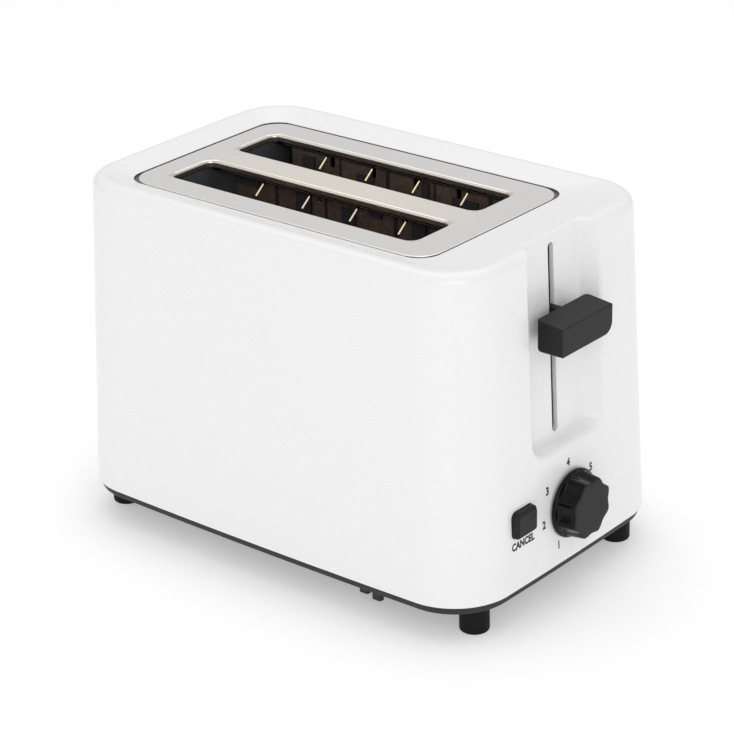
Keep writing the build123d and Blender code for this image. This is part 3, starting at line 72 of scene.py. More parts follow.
# Bread slots of the top plate: their middle along X, and half of their length and width.
SLOT_MID_X = -16.5 * MM
SLOT_HALF_LENGTH = 71.6 * MM
SLOT_HALF_WIDTH = 13.9 * MM


class Axis(Enum):
    """Direction in which a finish is drawn, brushed or rolled."""

    X = (1.0, 0.0, 0.0)
    Y = (0.0, 1.0, 0.0)
    Z = (0.0, 0.0, 1.0)


# ---- shader building ----------------------------------------------------------------------------------------------


class Wire:
    """A shader socket that can be used in ordinary arithmetic."""

    def __init__(self, shader: Shader, socket: bpy.types.NodeSocket) -> None:
        """Wraps one output socket.

        Args:
            shader: the shader whose tree the socket is in.
            socket: the output socket.
        """
        self.shader = shader
        self.socket = socket

    def _maths(self, operation: str, first: Wire | float, second: Wire | float) -> Wire:
        """Adds one Math node.

        Args:
            operation: the Math node's operation.
            first: its first value or wire.
            second: its second value or wire.

        Returns:
            The node's result.
        """
        return self.shader.node("ShaderNodeMath", {"operation": operation}, {0: first, 1: second})

    def __add__(self, other: Wire | float) -> Wire:
        """Sum."""
        return self._maths("ADD", self, other)

    def __radd__(self, other: Wire | float) -> Wire:
        """Sum, reflected."""
        return self._maths("ADD", other, self)

    def __sub__(self, other: Wire | float) -> Wire:
        """Difference."""
        return self._maths("SUBTRACT", self, other)

    def __rsub__(self, other: Wire | float) -> Wire:
        """Difference, reflected."""
        return self._maths("SUBTRACT", other, self)

    def __mul__(self, other: Wire | float) -> Wire:
        """Product."""
        return self._maths("MULTIPLY", self, other)

    def __rmul__(self, other: Wire | float) -> Wire:
        """Product, reflected."""
        return self._maths("MULTIPLY", other, self)

    def __truediv__(self, other: Wire | float) -> Wire:
        """Quotient."""
        return self._maths("DIVIDE", self, other)

    def above(self, other: Wire | float) -> Wire:
        """Compares two values.

        Args:
            other: the second value.

        Returns:
            One where this value is the larger, else nothing.
        """
        return self._maths("GREATER_THAN", self, other)

    def size(self) -> Wire:
        """Takes the sign off.

        Returns:
            The value without its sign.
        """
        return self._maths("ABSOLUTE", self, 0.0)

    def larger(self, other: Wire | float) -> Wire:
        """Picks the larger of two values.

        Args:
            other: the second value.

        Returns:
            The larger one.
        """
        return self._maths("MAXIMUM", self, other)

    def clamped(self) -> Wire:
        """Keeps the value between nothing and one.

        Returns:
            The clamped value.
        """
        return self.shader.node("ShaderNodeClamp", {}, {0: self, 1: 0.0, 2: 1.0})


class Shader:
    """One material with a Principled surface and the nodes that feed it."""

    def __init__(self, material: bpy.types.Material) -> None:
        """Opens a material.

        Args:
            material: the material, which has a Principled surface.
        """
        self.material = material
        self.tree = material.node_tree
        self.surface = next(n for n in self.tree.nodes if n.type == "BSDF_PRINCIPLED")

    @classmethod
    def named(cls, name: str) -> Shader:
        """Starts a new material.

        Args:
            name: the material's name.

        Returns:
            Its shader.
        """
        material = bpy.data.materials.new(name)
        material.use_nodes = True
        return cls(material)

    def node(self, kind: str, settings: dict, sockets: dict, output: int | str = 0) -> Wire:
        """Adds one node.

        Args:
            kind: the node's type name.
            settings: its own settings, set before its sockets.
            sockets: input name or number to a value or a Wire.
            output: which output to give back.

        Returns:
            That output, wrapped.
        """
        made = self.tree.nodes.new(kind)
        for key, value in settings.items():
            if key == "stops":
                self._set_stops(made, value)
            else:
                setattr(made, key, value)
        for key, value in sockets.items():
            if isinstance(value, Wire):
                self.tree.links.new(value.socket, made.inputs[key])
            else:
                made.inputs[key].default_value = value
        return Wire(self, made.outputs[output])

    def _set_stops(self, ramp: bpy.types.Node, stops: list) -> None:
        """Sets a colour ramp's stops.

        Args:
            ramp: the ramp node.
            stops: (place, colour) pairs in order.
        """
        elements = ramp.color_ramp.elements
        while len(elements) < len(stops):
            elements.new(1.0)
        for element, (place, colour) in zip(elements, stops):
            element.position = place
            element.color = (*colour, 1.0)

    def place(self, stretch: tuple[float, float, float] = (1.0, 1.0, 1.0)) -> Wire:
        """Object coordinates, stretched along the axes.

        Args:
            stretch: scale along X, Y and Z.

        Returns:
            The coordinates.
        """
        raw = self.node("ShaderNodeTexCoord", {}, {}, "Object")
        return self.node("ShaderNodeMapping", {}, {"Vector": raw, "Scale": stretch})

    def along(self, axis: Axis) -> Wire:
        """Object coordinate along one axis.

        Args:
            axis: the axis.

        Returns:
            Its coordinate, in metres.
        """
        return self.node("ShaderNodeSeparateXYZ", {}, {0: self.place()}, axis.name)

    def slot_distance(self) -> Wire:
        """Distance outwards from the edge of the nearer bread slot.

        Returns:
            The distance in metres, negative inside the slot.
        """
        low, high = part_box("guard_wires_rear")
        out_x = (self.along(Axis.X) - SLOT_MID_X).size() - SLOT_HALF_LENGTH
        out_y = (self.along(Axis.Y).size() - (low.y + high.y) / 2).size() - SLOT_HALF_WIDTH
        return out_x.larger(out_y)

    def noise(self, where: Wire, scale: float, detail: float = 2.0, roughness: float = 0.5) -> Wire:
        """Soft noise between nothing and one.

        Args:
            where: the coordinates.
            scale: cells per metre.
            detail: number of finer layers.
            roughness: strength of the finer layers.

        Returns:
            The noise.
        """
        sockets = {"Vector": where, "Scale": scale, "Detail": detail, "Roughness": roughness}
        return self.node("ShaderNodeTexNoise", {}, sockets)

    def mix(self, share: Wire | float, first: Wire | tuple, second: Wire | tuple) -> Wire:
        """Mixes two colours.

        Args:
            share: nothing for the first colour, one for the second.
            first: colour or wire.
            second: colour or wire.

        Returns:
            The mixed colour.
        """
        sockets = {"Factor": share, 6: self._colour(first), 7: self._colour(second)}
        return self.node("ShaderNodeMix", {"data_type": "RGBA"}, sockets, 2)

    @staticmethod
    def _colour(value: Wire | tuple) -> Wire | tuple:
        """Readies a colour for a socket.

        Args:
            value: a plain colour or a wire.

        Returns:
            The colour with its alpha, or the wire as it is.
        """
        return value if isinstance(value, Wire) else (*value, 1.0)

    def set(self, socket: str, value: Wire | tuple | float) -> None:
        """Sets or links one socket of the surface.

        Args:
            socket: the socket's name.
            value: a number, a colour or a wire.
        """
        target = self.surface.inputs[socket]
        if isinstance(value, Wire):
            self.tree.links.new(value.socket, target)
        elif isinstance(value, tuple):
            target.default_value = (*value, 1.0)
        else:
            target.default_value = value

    def bump(self, height: Wire, depth: float, strength: float = 1.0) -> None:
        """Feeds a height into the surface's normal.

        Args:
            height: the height, in parts of depth.
            depth: distance of one part, in metres.
            strength: how much of the bump shows.
        """
        sockets = {"Height": height, "Distance": depth, "Strength": strength}
        self.set("Normal", self.node("ShaderNodeBump", {}, sockets))


# ---- finishes -----------------------------------------------------------------------------------------------------


@dataclass(frozen=True)
class MouldedPlastic:
    """Moulded plastic with a fine surface texture and slight unevenness of gloss.

    Attributes:
        name: the material's name.
        colour: its colour.
        roughness: mean roughness.
        uneven: how far roughness wanders.
        grain: cells of surface texture per metre.
        grain_depth: depth of that texture, in metres.
        coat: weight of a clear glossy skin.
        tint: how far the colour wanders.
        specular: strength of the plain reflection.
        broad: cells of the slow unevenness per metre.
        coat_roughness: roughness of the glossy skin.
    """

    name: str
    colour: tuple[float, float, float]
    roughness: float
    uneven: float = 0.05
    grain: float = 2500.0
    grain_depth: float = 0.00002
    coat: float = 0.0
    tint: float = 0.04
    specular: float = 0.5
    broad: float = 22.0
    coat_roughness: float = 0.12

    def make(self) -> bpy.types.Material:
        """Builds the material.

        Returns:
            The material.
        """
        shader = Shader.named(self.name)
        where = shader.place()
        broad = shader.noise(where, self.broad, 3.0)
        fine = shader.noise(where, self.grain, 2.0, 0.6)
        darker = tuple(c * (1 - self.tint) for c in self.colour)
        shader.set("Base Color", shader.mix(broad, darker, self.colour))
        shader.set("Roughness", self.roughness + self.uneven * (broad - 0.5) + 0.5 * self.uneven * (fine - 0.5))
        shader.set("Specular IOR Level", self.specular)
        shader.set("Coat Weight", self.coat)
        shader.set("Coat Roughness", self.coat_roughness)
        shader.bump(fine, self.grain_depth)
        return shader.material


@dataclass(frozen=True)
class ShellPlastic(MouldedPlastic):
    """White moulded plastic with painted shadow: a dark strip on the ledge in the gap round the top plate, where
    shade falls.

    Attributes:
        strip_colour: colour of the painted shadow strip.
        strip_reach: how far outside the plate the painted shadow strip ends.
        strip_drop: depth under the plate's face at which the painted shadow starts.
        strip_depth: depth under the plate's face at which it ends.
    """

    strip_colour: tuple[float, float, float] = (0.085, 0.055, 0.065)
    strip_reach: float = 2.2 * MM
    strip_drop: float = 0.25 * MM
    strip_depth: float = 4.0 * MM

    def make(self) -> bpy.types.Material:
        """Builds the material.

        Returns:
            The material.
        """
        material = super().make()
        shader = Shader(material)
        low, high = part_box("top_plate")
        middle, half = (low + high) / 2, (high - low) / 2
        out_x = (shader.along(Axis.X) - middle.x).size() - half.x
        out_y = (shader.along(Axis.Y) - middle.y).size() - half.y
        outside = out_x.larger(out_y).above(self.strip_reach)
        drop = high.z - shader.along(Axis.Z)
        # painted shadow: dark colour on the ledge under the plate's edge, where shade falls in the gap
        painted_shade_mask = drop.above(self.strip_drop) * (1.0 - drop.above(self.strip_depth)) * (1.0 - outside)
        shader.set("Base Color", shader.mix(painted_shade_mask, self.colour, self.strip_colour))
        shader.set("Coat Weight", self.coat * (1.0 - painted_shade_mask))
        return material


@dataclass(frozen=True)
class DialPlastic(MouldedPlastic):
    """Glossy black plastic with a matte, slightly greyer face.

    Attributes:
        face_colour: colour of the face.
        face_roughness: its roughness.
        face_depth: depth of the matte zone, back from the dial's front.
    """

    face_colour: tuple[float, float, float] = (0.024, 0.024, 0.026)
    face_roughness: float = 0.5
    face_depth: float = 0.35 * MM

    def make(self) -> bpy.types.Material:
        """Builds the material.

        Returns:
            The material.
        """
        material = super().make()
        shader = Shader(material)
        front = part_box("dial_knob")[1].x
        face = shader.along(Axis.X).above(front - self.face_depth)
        shader.set("Base Color", shader.mix(face, self.colour, self.face_colour))
        shader.set("Roughness", self.roughness + face * (self.face_roughness - self.roughness))
        shader.set("Coat Weight", self.coat * (1.0 - face))
        return material


@dataclass(frozen=True)
class SheetMetal:
    """Rolled, brushed or polished metal with lines along one axis.

    Attributes:
        name: the material's name.
        colour: its colour.
        roughness: mean roughness.
        axis: direction of the lines.
        lines: lines per metre across that direction.
        line_depth: depth of the lines, in metres.
        uneven: how far roughness wanders along the lines.
        warm: colour of faint heat staining.
        stain: weight of that staining.
        dark_line: brightness of the darkest lines against the colour.
        drawn_out: scale along the lines against the scale across them.
        broad: cells of the slow unevenness per metre.
    """

    name: str
    colour: tuple[float, float, float]
    roughness: float
    axis: Axis = Axis.X
    lines: float = 2600.0
    line_depth: float = 0.000004
    uneven: float = 0.1
    warm: tuple[float, float, float] = (0.60, 0.50, 0.40)
    stain: float = 0.0
    dark_line: float = 0.93
    drawn_out: float = 0.02
    broad: float = 30.0

    def make(self) -> bpy.types.Material:
        """Builds the material.

        Returns:
            The material.
        """
        shader = Shader.named(self.name)
        stretch = tuple(self.drawn_out if along else 1.0 for along in self.axis.value)
        lines = shader.noise(shader.place(stretch), self.lines, 3.0, 0.6)
        broad = shader.noise(shader.place(), self.broad, 2.0)
        colour = shader.mix(lines, tuple(c * self.dark_line for c in self.colour), self.colour)
        if self.stain:
            colour = shader.mix(self.stain * broad, colour, self.warm)
        shader.set("Base Color", self._finish(shader, colour, broad))
        shader.set("Metallic", 1.0)
        shader.set("Roughness", self.roughness + self.uneven * (lines - 0.5) + 0.3 * self.uneven * (broad - 0.5))
        shader.bump(lines, self.line_depth)
        return shader.material

    def _finish(self, shader: Shader, colour: Wire, broad: Wire) -> Wire:
        """Last change of the colour, which a special metal overrides.

        Args:
            shader: the material being built.
            colour: the plain metal's colour.
            broad: broad noise.

        Returns:
            The colour to use.
        """
        return colour


@dataclass(frozen=True)
class HeatTintedPlate(SheetMetal):
    """Satin plate whose steel is lighter and warmer between the bread slots and darker brown along their edges.

    Attributes:
        web: colour of the steel between the slots.
        browned: darker brown colour along the rolled edges.
        tint_reach: how far the warm colour spreads across from the middle of the plate.
        tint_length: how far it spreads along the slots from their middle.
        tint_gain: how steeply it rises from its outline.
        brown_reach: how far the brown edge band spreads.
        web_cover: least share of the warm colour, and what the slow unevenness adds to it.
        brown_cover: the same for the brown edge band.
    """

    web: tuple[float, float, float] = (0.96, 0.89, 0.79)
    browned: tuple[float, float, float] = (0.55, 0.46, 0.36)
    tint_reach: float = 16.0 * MM
    tint_length: float = 1.25 * SLOT_HALF_LENGTH
    tint_gain: float = 2.4
    brown_reach: float = 1.3 * MM
    web_cover: tuple[float, float] = (0.55, 0.45)
    brown_cover: tuple[float, float] = (0.25, 0.5)

    def _finish(self, shader: Shader, colour: Wire, broad: Wire) -> Wire:
        """Warms the colour between the slots and browns it along their edges."""
        between = (1.0 - shader.along(Axis.Y).size() / self.tint_reach).clamped()
        within = (1.0 - (shader.along(Axis.X) - SLOT_MID_X).size() / self.tint_length).clamped()
        tint = (between * within * self.tint_gain).clamped()
        least, added = self.web_cover
        warmed = shader.mix(tint * (least + added * broad), colour, self.web)
        edge = (1.0 - shader.slot_distance() / self.brown_reach).clamped()
        least, added = self.brown_cover
        return shader.mix(edge * (least + added * broad), warmed, self.browned)


@dataclass(frozen=True)
class GuardWire(SheetMetal):
    """Bright plated wire with painted shade where it runs under the plate, and darker lower down in the slot.

    Attributes:
        dull: colour of the painted shade on the rails under the plate and of the darker lower stretch.
        hidden_from: distance outside a slot from which a wire gets the painted shade.
        bright_low: height at which the darker lower stretch starts.
        burnt_over: drop over which it gets fully dark.
        burnt_uneven: how far the darker stretch wanders, in parts of that drop.
    """

    dull: tuple[float, float, float] = (0.05, 0.045, 0.04)
    hidden_from: float = 0.4 * MM
    bright_low: float = 147.5 * MM
    burnt_over: float = 6.25 * MM
    burnt_uneven: float = 0.3

    def _finish(self, shader: Shader, colour: Wire, broad: Wire) -> Wire:
        """Paints shade on the rails under the plate and darkens the lower wires."""
        # painted shade on the rails that run under the plate's edge
        painted_shade_mask = shader.slot_distance().above(self.hidden_from)
        low_dark = ((self.bright_low - shader.along(Axis.Z)) / self.burnt_over + self.burnt_uneven * broad).clamped()
        return shader.mix(painted_shade_mask.larger(low_dark), colour, self.dull)


@dataclass(frozen=True)
class PressedMica:
    """Brown mica board with flakes and a faint sheen.

    Attributes:
        name: the material's name.
        colour: colour between the flakes.
        flake_colour: colour of the flakes.
        flakes: flakes per metre.
        mottle: cells of the finer mottling per metre.
        flake_gain: how strongly the flakes' colour shows.
        flake_depth: height of the flakes, in metres.
        roughness: least roughness, and what the mottling adds to it.
    """

    name: str = "mica_board"
    colour: tuple[float, float, float] = (0.075, 0.048, 0.036)
    flake_colour: tuple[float, float, float] = (0.15, 0.105, 0.08)
    flakes: float = 420.0
    mottle: float = 160.0
    flake_gain: float = 1.6
    flake_depth: float = 0.08 * MM
    roughness: tuple[float, float] = (0.34, 0.3)

    def make(self) -> bpy.types.Material:
        """Builds the material.

        Returns:
            The material.
        """
        shader = Shader.named(self.name)
        where = shader.place()
        cells = shader.node("ShaderNodeTexVoronoi", {}, {"Vector": where, "Scale": self.flakes}, "Distance")
        mottle = shader.noise(where, self.mottle, 4.0, 0.65)
        flaked = (mottle * cells * self.flake_gain).clamped()
        shader.set("Base Color", shader.mix(flaked, self.colour, self.flake_colour))
        least, added = self.roughness
        shader.set("Roughness", least + added * mottle)
        shader.bump(cells + mottle, self.flake_depth)
        return shader.material


@dataclass(frozen=True)
class PrintInk:
    """Flat dark printing ink with fine pale specks.

    Attributes:
        name: the material's name.
        colour: its colour.
        specks: specks per metre.
        speck_gain: brightness of a speck against the colour.
        roughness: least roughness, and what the specks add to it.
    """

    name: str = "print_ink"
    colour: tuple[float, float, float] = (0.012, 0.012, 0.014)
    specks: float = 9000.0
    speck_gain: float = 1.8
    roughness: tuple[float, float] = (0.45, 0.2)

    def make(self) -> bpy.types.Material:
        """Builds the material.

        Returns:
            The material.
        """
        shader = Shader.named(self.name)
        speck = shader.noise(shader.place(), self.specks, 2.0)
        shader.set("Base Color", shader.mix(speck, self.colour, tuple(c * self.speck_gain for c in self.colour)))
        least, added = self.roughness
        shader.set("Roughness", least + added * speck)
        return shader.material


@dataclass(frozen=True)
class StudioFloor:
    """Plain pale floor that the toaster stands on.

    Attributes:
        name: the material's name.
        colour: its colour.
        glow: strength of its own light, which keeps it near white.
        roughness: its roughness.
        specular: strength of its plain reflection.
    """

    name: str = "studio_floor"
    colour: tuple[float, float, float] = (0.72, 0.72, 0.72)
    glow: float = 0.47
    roughness: float = 0.9
    specular: float = 0.1

    def make(self) -> bpy.types.Material:
        """Builds the material.

        Returns:
            The material.
        """
        shader = Shader.named(self.name)
        shader.set("Base Color", self.colour)
        shader.set("Roughness", self.roughness)
        shader.set("Specular IOR Level", self.specular)
        shader.set("Emission Color", self.colour)
        shader.set("Emission Strength", self.glow)
        return shader.material


@dataclass
class Finishes:
    """Every finish of the toaster, made once.

    Attributes:
        made: the materials by name.
    """

    made: dict[str, bpy.types.Material] = field(default_factory=dict)

    def __post_init__(self) -> None:
        """Builds the materials."""
        recipes = (
            ShellPlastic("white_shell", (0.86, 0.86, 0.86), roughness=0.27, grain=1600.0, grain_depth=0.012 * MM,
                         coat=0.25, tint=0.012),
            MouldedPlastic("pan_black", (0.030, 0.030, 0.031), roughness=0.46, uneven=0.08, grain=3200.0,
                           grain_depth=0.03 * MM, specular=0.3),
            MouldedPlastic("satin_black", (0.017, 0.017, 0.0175), roughness=0.40, uneven=0.06, grain=4200.0,
                           specular=0.17),
            DialPlastic("dial_black", (0.002, 0.002, 0.0025), roughness=0.1, uneven=0.04, grain=3000.0,
                        grain_depth=0.004 * MM, coat=0.1, specular=0.14),
            MouldedPlastic("foot_rubber", (0.007, 0.007, 0.007), roughness=0.62, uneven=0.1, grain=2600.0,
                           grain_depth=0.05 * MM, specular=0.15),
            MouldedPlastic("cage_enamel", (0.075, 0.08, 0.085), roughness=0.25, uneven=0.1, grain=900.0,
                           grain_depth=0.03 * MM, coat=0.3),
            MouldedPlastic("tab_metal", (0.045, 0.043, 0.044), roughness=0.32, uneven=0.1, grain=900.0,
                           grain_depth=0.03 * MM, coat=0.2),
            MouldedPlastic("board_green", (0.02, 0.14, 0.06), roughness=0.35, uneven=0.1, grain=1800.0, coat=0.4),
            MouldedPlastic("part_black", (0.02, 0.02, 0.02), roughness=0.5),
            MouldedPlastic("block_white", (0.75, 0.74, 0.70), roughness=0.4),
            HeatTintedPlate("satin_steel", (0.87, 0.86, 0.85), roughness=0.28, line_depth=0.001 * MM, uneven=0.05,
                            stain=0.05, dark_line=0.985),
            SheetMetal("cage_steel", (0.30, 0.31, 0.32), roughness=0.22, axis=Axis.Z, lines=1500.0,
                       line_depth=0.006 * MM, uneven=0.15),
            SheetMetal("plain_steel", (0.62, 0.62, 0.62), roughness=0.32, axis=Axis.Y, lines=2000.0),
            SheetMetal("polished_steel", (0.78, 0.78, 0.79), roughness=0.14, axis=Axis.Z, lines=2000.0),
            SheetMetal("ribbon_metal", (0.42, 0.36, 0.30), roughness=0.38, lines=2000.0),
            SheetMetal("copper_winding", (0.72, 0.30, 0.14), roughness=0.3, axis=Axis.Y, lines=3500.0,
                       line_depth=0.06 * MM),
            SheetMetal("brass_leaf", (0.75, 0.58, 0.28), roughness=0.26, axis=Axis.Z, lines=2000.0),
            GuardWire("guard_wire", (0.95, 0.83, 0.58), roughness=0.16, axis=Axis.Z, lines=1200.0),
            PressedMica(),
            PrintInk(),
        )
        for recipe in recipes:
            self.made[recipe.name] = recipe.make()

    def __getitem__(self, name: str) -> bpy.types.Material:
        """One finish by its name."""
        return self.made[name]


# CAD nodes by the finish that they get.
NODES_OF_FINISH = {
    "white_shell": ("housing_shell",),
    "satin_steel": ("top_plate",),
    "pan_black": ("base_pan", "tray_handle"),
    "foot_rubber": ("cord_gland", "feet"),
    "satin_black": ("lever_knob", "cancel_button"),
    "dial_black": ("dial_knob",),
    "cage_enamel": ("end_frame_far", "end_frame_lever"),
    "cage_steel": ("reflector_front", "reflector_rear"),
    "mica_board": ("heater_board_front", "heater_board_centre", "heater_board_rear"),
    "ribbon_metal": ("heating_ribbon_front", "heating_ribbon_centre", "heating_ribbon_rear"),
    "guard_wire": ("guard_wires_front", "guard_wires_rear"),
    "plain_steel": ("crumb_tray", "bread_rack_front", "bread_rack_rear", "carriage_bracket", "lever_arm",
                    "armature_plate", "magnet_core"),
    "polished_steel": ("guide_rod", "return_spring", "browning_pot", "dial_shaft", "base_screws", "frame_screws",
                       "board_screws"),
    "copper_winding": ("magnet_coil",),
    "board_green": ("circuit_board",),
    "part_black": ("timer_parts", "cancel_switch"),
    "brass_leaf": ("switch_contacts",),
    "block_white": ("terminal_block",),
}


# ---- modelling helpers --------------------------------------------------------------------------------------------


def deselect() -> None:
    """Leaves nothing selected and nothing active."""
    for obj in bpy.context.selected_objects:
        obj.select_set(False)
    bpy.context.view_layer.objects.active = None


def activate(obj: bpy.types.Object) -> None:
    """Makes one object the only selected and the active one.

    Args:
        obj: the object.
    """
    deselect()
    obj.select_set(True)
    bpy.context.view_layer.objects.active = obj


def settle(obj: bpy.types.Object) -> None:
    """Puts an object's place, turn and scale into its mesh.

    Args:
        obj: the object.
    """
    activate(obj)
    bpy.ops.object.transform_apply(location=True, rotation=True, scale=True)


def dress(obj: bpy.types.Object, material: bpy.types.Material) -> None:
    """Gives an object one material.

    Args:
        obj: the object.
        material: its material.
    """
    obj.data.materials.clear()
    obj.data.materials.append(material)


# ---- inside the slots ---------------------------------------------------------------------------------------------


@dataclass
class BoardTabs:
    """Folded clips and straps on the heater boards, seen through the bread slots.

    Attributes:
        finishes: every finish.
        sheet: thickness of the clips.
        stand: how far a clip stands off its board.
        bite: how far a fold or a strap stops short of its board's face.
        strap_drop: from a board's top down to the top of its straps.
        strap_foot: from a board's top down to their foot.
        soften: width of the softened edges against the sheet.
        clips: for each board, (place along X, width, drop under the board's top, height) of each clip, in
            millimetres.
        straps: for each board, (place along X, width) of the upright straps beside the clips, in millimetres.
    """

    finishes: Finishes
    sheet: float = 0.4 * MM
    stand: float = 0.7 * MM
    bite: float = 0.02 * MM
    strap_drop: float = 0.5 * MM
    strap_foot: float = 60.0 * MM
    soften: float = 0.35
    clips: tuple = (
        ("heater_board_rear", ((-52.0, 7.0, 3.0, 12.0), (-17.0, 10.0, 5.5, 15.0), (19.0, 4.0, 1.5, 18.0),
                               (42.0, 15.0, 5.0, 13.0))),
        ("heater_board_centre", ((-56.0, 16.0, 1.5, 5.0), (-21.0, 9.0, 3.0, 12.0), (6.0, 8.0, 5.0, 7.0),
                                 (22.0, 7.0, 1.0, 5.0), (47.0, 8.0, 3.0, 10.0))),
    )
    straps: tuple = (
        ("heater_board_rear", ((-33.0, 1.2), (-4.0, 2.0), (24.0, 1.2), (56.0, 2.0))),
        ("heater_board_centre", ((-38.0, 1.6), (-8.0, 1.2), (33.0, 2.0))),
    )

    def _slab(self, name: str, low: Vector, high: Vector) -> bpy.types.Object:
        """One thin slab with softened edges.

        Args:
            name: the piece's name.
            low: its lowest corner.
            high: its highest corner.

        Returns:
            The slab.
        """
        deselect()
        bpy.ops.mesh.primitive_cube_add(size=1.0, location=(low + high) / 2)
        slab = bpy.context.object
        slab.name = name
        slab.scale = high - low
        settle(slab)
        soften = slab.modifiers.new("soften", "BEVEL")
        soften.width, soften.segments = self.sheet * self.soften, 2
        activate(slab)
        bpy.ops.object.modifier_apply(modifier=soften.name)
        return slab

    def _join(self, pieces: list[bpy.types.Object], name: str, finish: str) -> None:
        """Joins slabs into one piece that rides on the housing.

        Args:
            pieces: the slabs.
            name: the piece's name.
            finish: its finish.
        """
        deselect()
        for piece in pieces:
            piece.select_set(True)
        bpy.context.view_layer.objects.active = pieces[0]
        bpy.ops.object.join()
        made = bpy.context.object
        made.name = name
        dress(made, self.finishes[finish])
        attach(made, "housing")

    def _clip(self, name: str, board: tuple[Vector, Vector], x: float, width: float, drop: float,
              height: float) -> list[bpy.types.Object]:
        """One clip: an upright plate folded in to its board at the top and both sides.

        Args:
            name: the piece's name.
            board: the board's box.
            x: its middle, from the middle of the slots.
            width: its width.
            drop: from the board's top down to its own.
            height: its height.

        Returns:
            Its slabs.
        """
        face, top = board[0].y, board[1].z - drop
        left, right = SLOT_MID_X + x - width / 2, SLOT_MID_X + x + width / 2
        outer = face - self.stand - self.sheet
        plate = self._slab(name, Vector((left, outer, top - height)), Vector((right, outer + self.sheet, top)))
        fold = self._slab(name, Vector((left, outer, top - self.sheet)), Vector((right, face - self.bite, top)))
        sides = [self._slab(name, Vector((edge, outer, top - height)),
                            Vector((edge + self.sheet, face - self.bite, top)))
                 for edge in (left, right - self.sheet)]
        return [plate, fold, *sides]

    def build(self) -> None:
        """Adds every clip and strap."""
        for board_name, places in self.clips:
            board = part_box(board_name)
            pieces = []
            for place in places:
                pieces += self._clip("clip", board, *(v * MM for v in place))
            self._join(pieces, f"{board_name}_clips", "tab_metal")
        for board_name, places in self.straps:
            low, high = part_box(board_name)
            pieces = []
            for x, width in places:
                left = SLOT_MID_X + (x - width / 2) * MM
                foot = Vector((left, low.y - self.sheet, high.z - self.strap_foot))
                head = Vector((left + width * MM, low.y - self.bite, high.z - self.strap_drop))
                pieces.append(self._slab("strap", foot, head))
            self._join(pieces, f"{board_name}_straps", "part_black")


# ---- dial ---------------------------------------------------------------------------------------------------------


@dataclass
class FlutedDial:
    """Glossy tapered dial with soft flutes, shown in place of the plain CAD dial.

    Attributes:
        material: its finish.
        flutes: number of flutes.
        steps: points round the dial for each flute.
        rings: for each ring, its distance from the back, its radius and its flute depth, in millimetres.
        front_ring: number of the ring that lies at the CAD dial's front.
        sharpness: power that widens the flutes and narrows the ridges.
        smooth_under: edges that turn less than this, in degrees, are shaded smooth.
    """

    material: bpy.types.Material
    flutes: int = 8
    steps: int = 24
    rings: tuple = ((0.0, 16.1, 0.0), (0.8, 16.2, 0.0), (1.25, 16.0, 0.0), (1.5, 15.6, 0.0), (1.6, 15.35, 0.8),
                    (1.85, 15.2, 1.5), (2.4, 15.1, 1.7), (4.8, 14.8, 1.7), (7.3, 14.5, 1.65), (9.7, 14.2, 1.6),
                    (10.15, 14.08, 1.58), (10.42, 13.85, 1.52), (10.56, 13.5, 1.4), (10.6, 13.0, 1.25),
                    (10.6, 9.0, 0.3), (10.55, 4.0, 0.0))
    front_ring: int = 13
    sharpness: float = 0.8
    smooth_under: float = 50.0

    def build(self) -> None:
        """Makes the dial and lets it stand for the CAD one."""
        low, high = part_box("dial_knob")
        back = high.x - self.rings[self.front_ring][0] * MM
        middle = (low + high) / 2
        count = self.flutes * self.steps
        points = []
        for out, radius, depth in self.rings:
            for i in range(count):
                turn = 2 * math.pi * i / count
                flute = ((1 + math.cos(self.flutes * turn)) / 2) ** self.sharpness
                reach = (radius - depth * flute) * MM
                points.append((back + out * MM, middle.y + reach * math.cos(turn), middle.z + reach * math.sin(turn)))
        last = len(self.rings) - 1
        faces = [(ring * count + i, ring * count + (i + 1) % count, (ring + 1) * count + (i + 1) % count,
                  (ring + 1) * count + i) for ring in range(last) for i in range(count)]
        faces += [tuple(reversed(range(count))), tuple(range(last * count, (last + 1) * count))]
        mesh = bpy.data.meshes.new("fluted_dial")
        mesh.from_pydata(points, [], faces)
        mesh.update()
        dial = bpy.data.objects.new("fluted_dial", mesh)
        bpy.context.scene.collection.objects.link(dial)
        dress(dial, self.material)
        activate(dial)
        bpy.ops.object.shade_smooth_by_angle(angle=math.radians(self.smooth_under))
        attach(dial, "dial")
        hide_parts("dial_knob")


# ---- spring -------------------------------------------------------------------------------------------------------


@dataclass
class LiftSpring:
    """Copy of the stiff CAD coil spring, shown in place of it.

    Attributes:
        material: its finish.
        weld: distance within which the copy's points are joined.
    """

    material: bpy.types.Material
    weld: float = 0.01 * MM

    def build(self) -> None:
        """Copies the CAD coil, joins its doubled points and shows the copy in place of the CAD coil."""
        spring = bpy.data.objects.new("lift_spring", bpy.data.objects["return_spring"].data.copy())
        bpy.context.scene.collection.objects.link(spring)
        activate(spring)
        bpy.ops.object.mode_set(mode="EDIT")
        bpy.ops.mesh.select_all(action="SELECT")
        bpy.ops.mesh.remove_doubles(threshold=self.weld)
        bpy.ops.object.mode_set(mode="OBJECT")
        dress(spring, self.material)
        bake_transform(spring)
        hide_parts("return_spring")


# ---- printed marks ------------------------------------------------------------------------------------------------


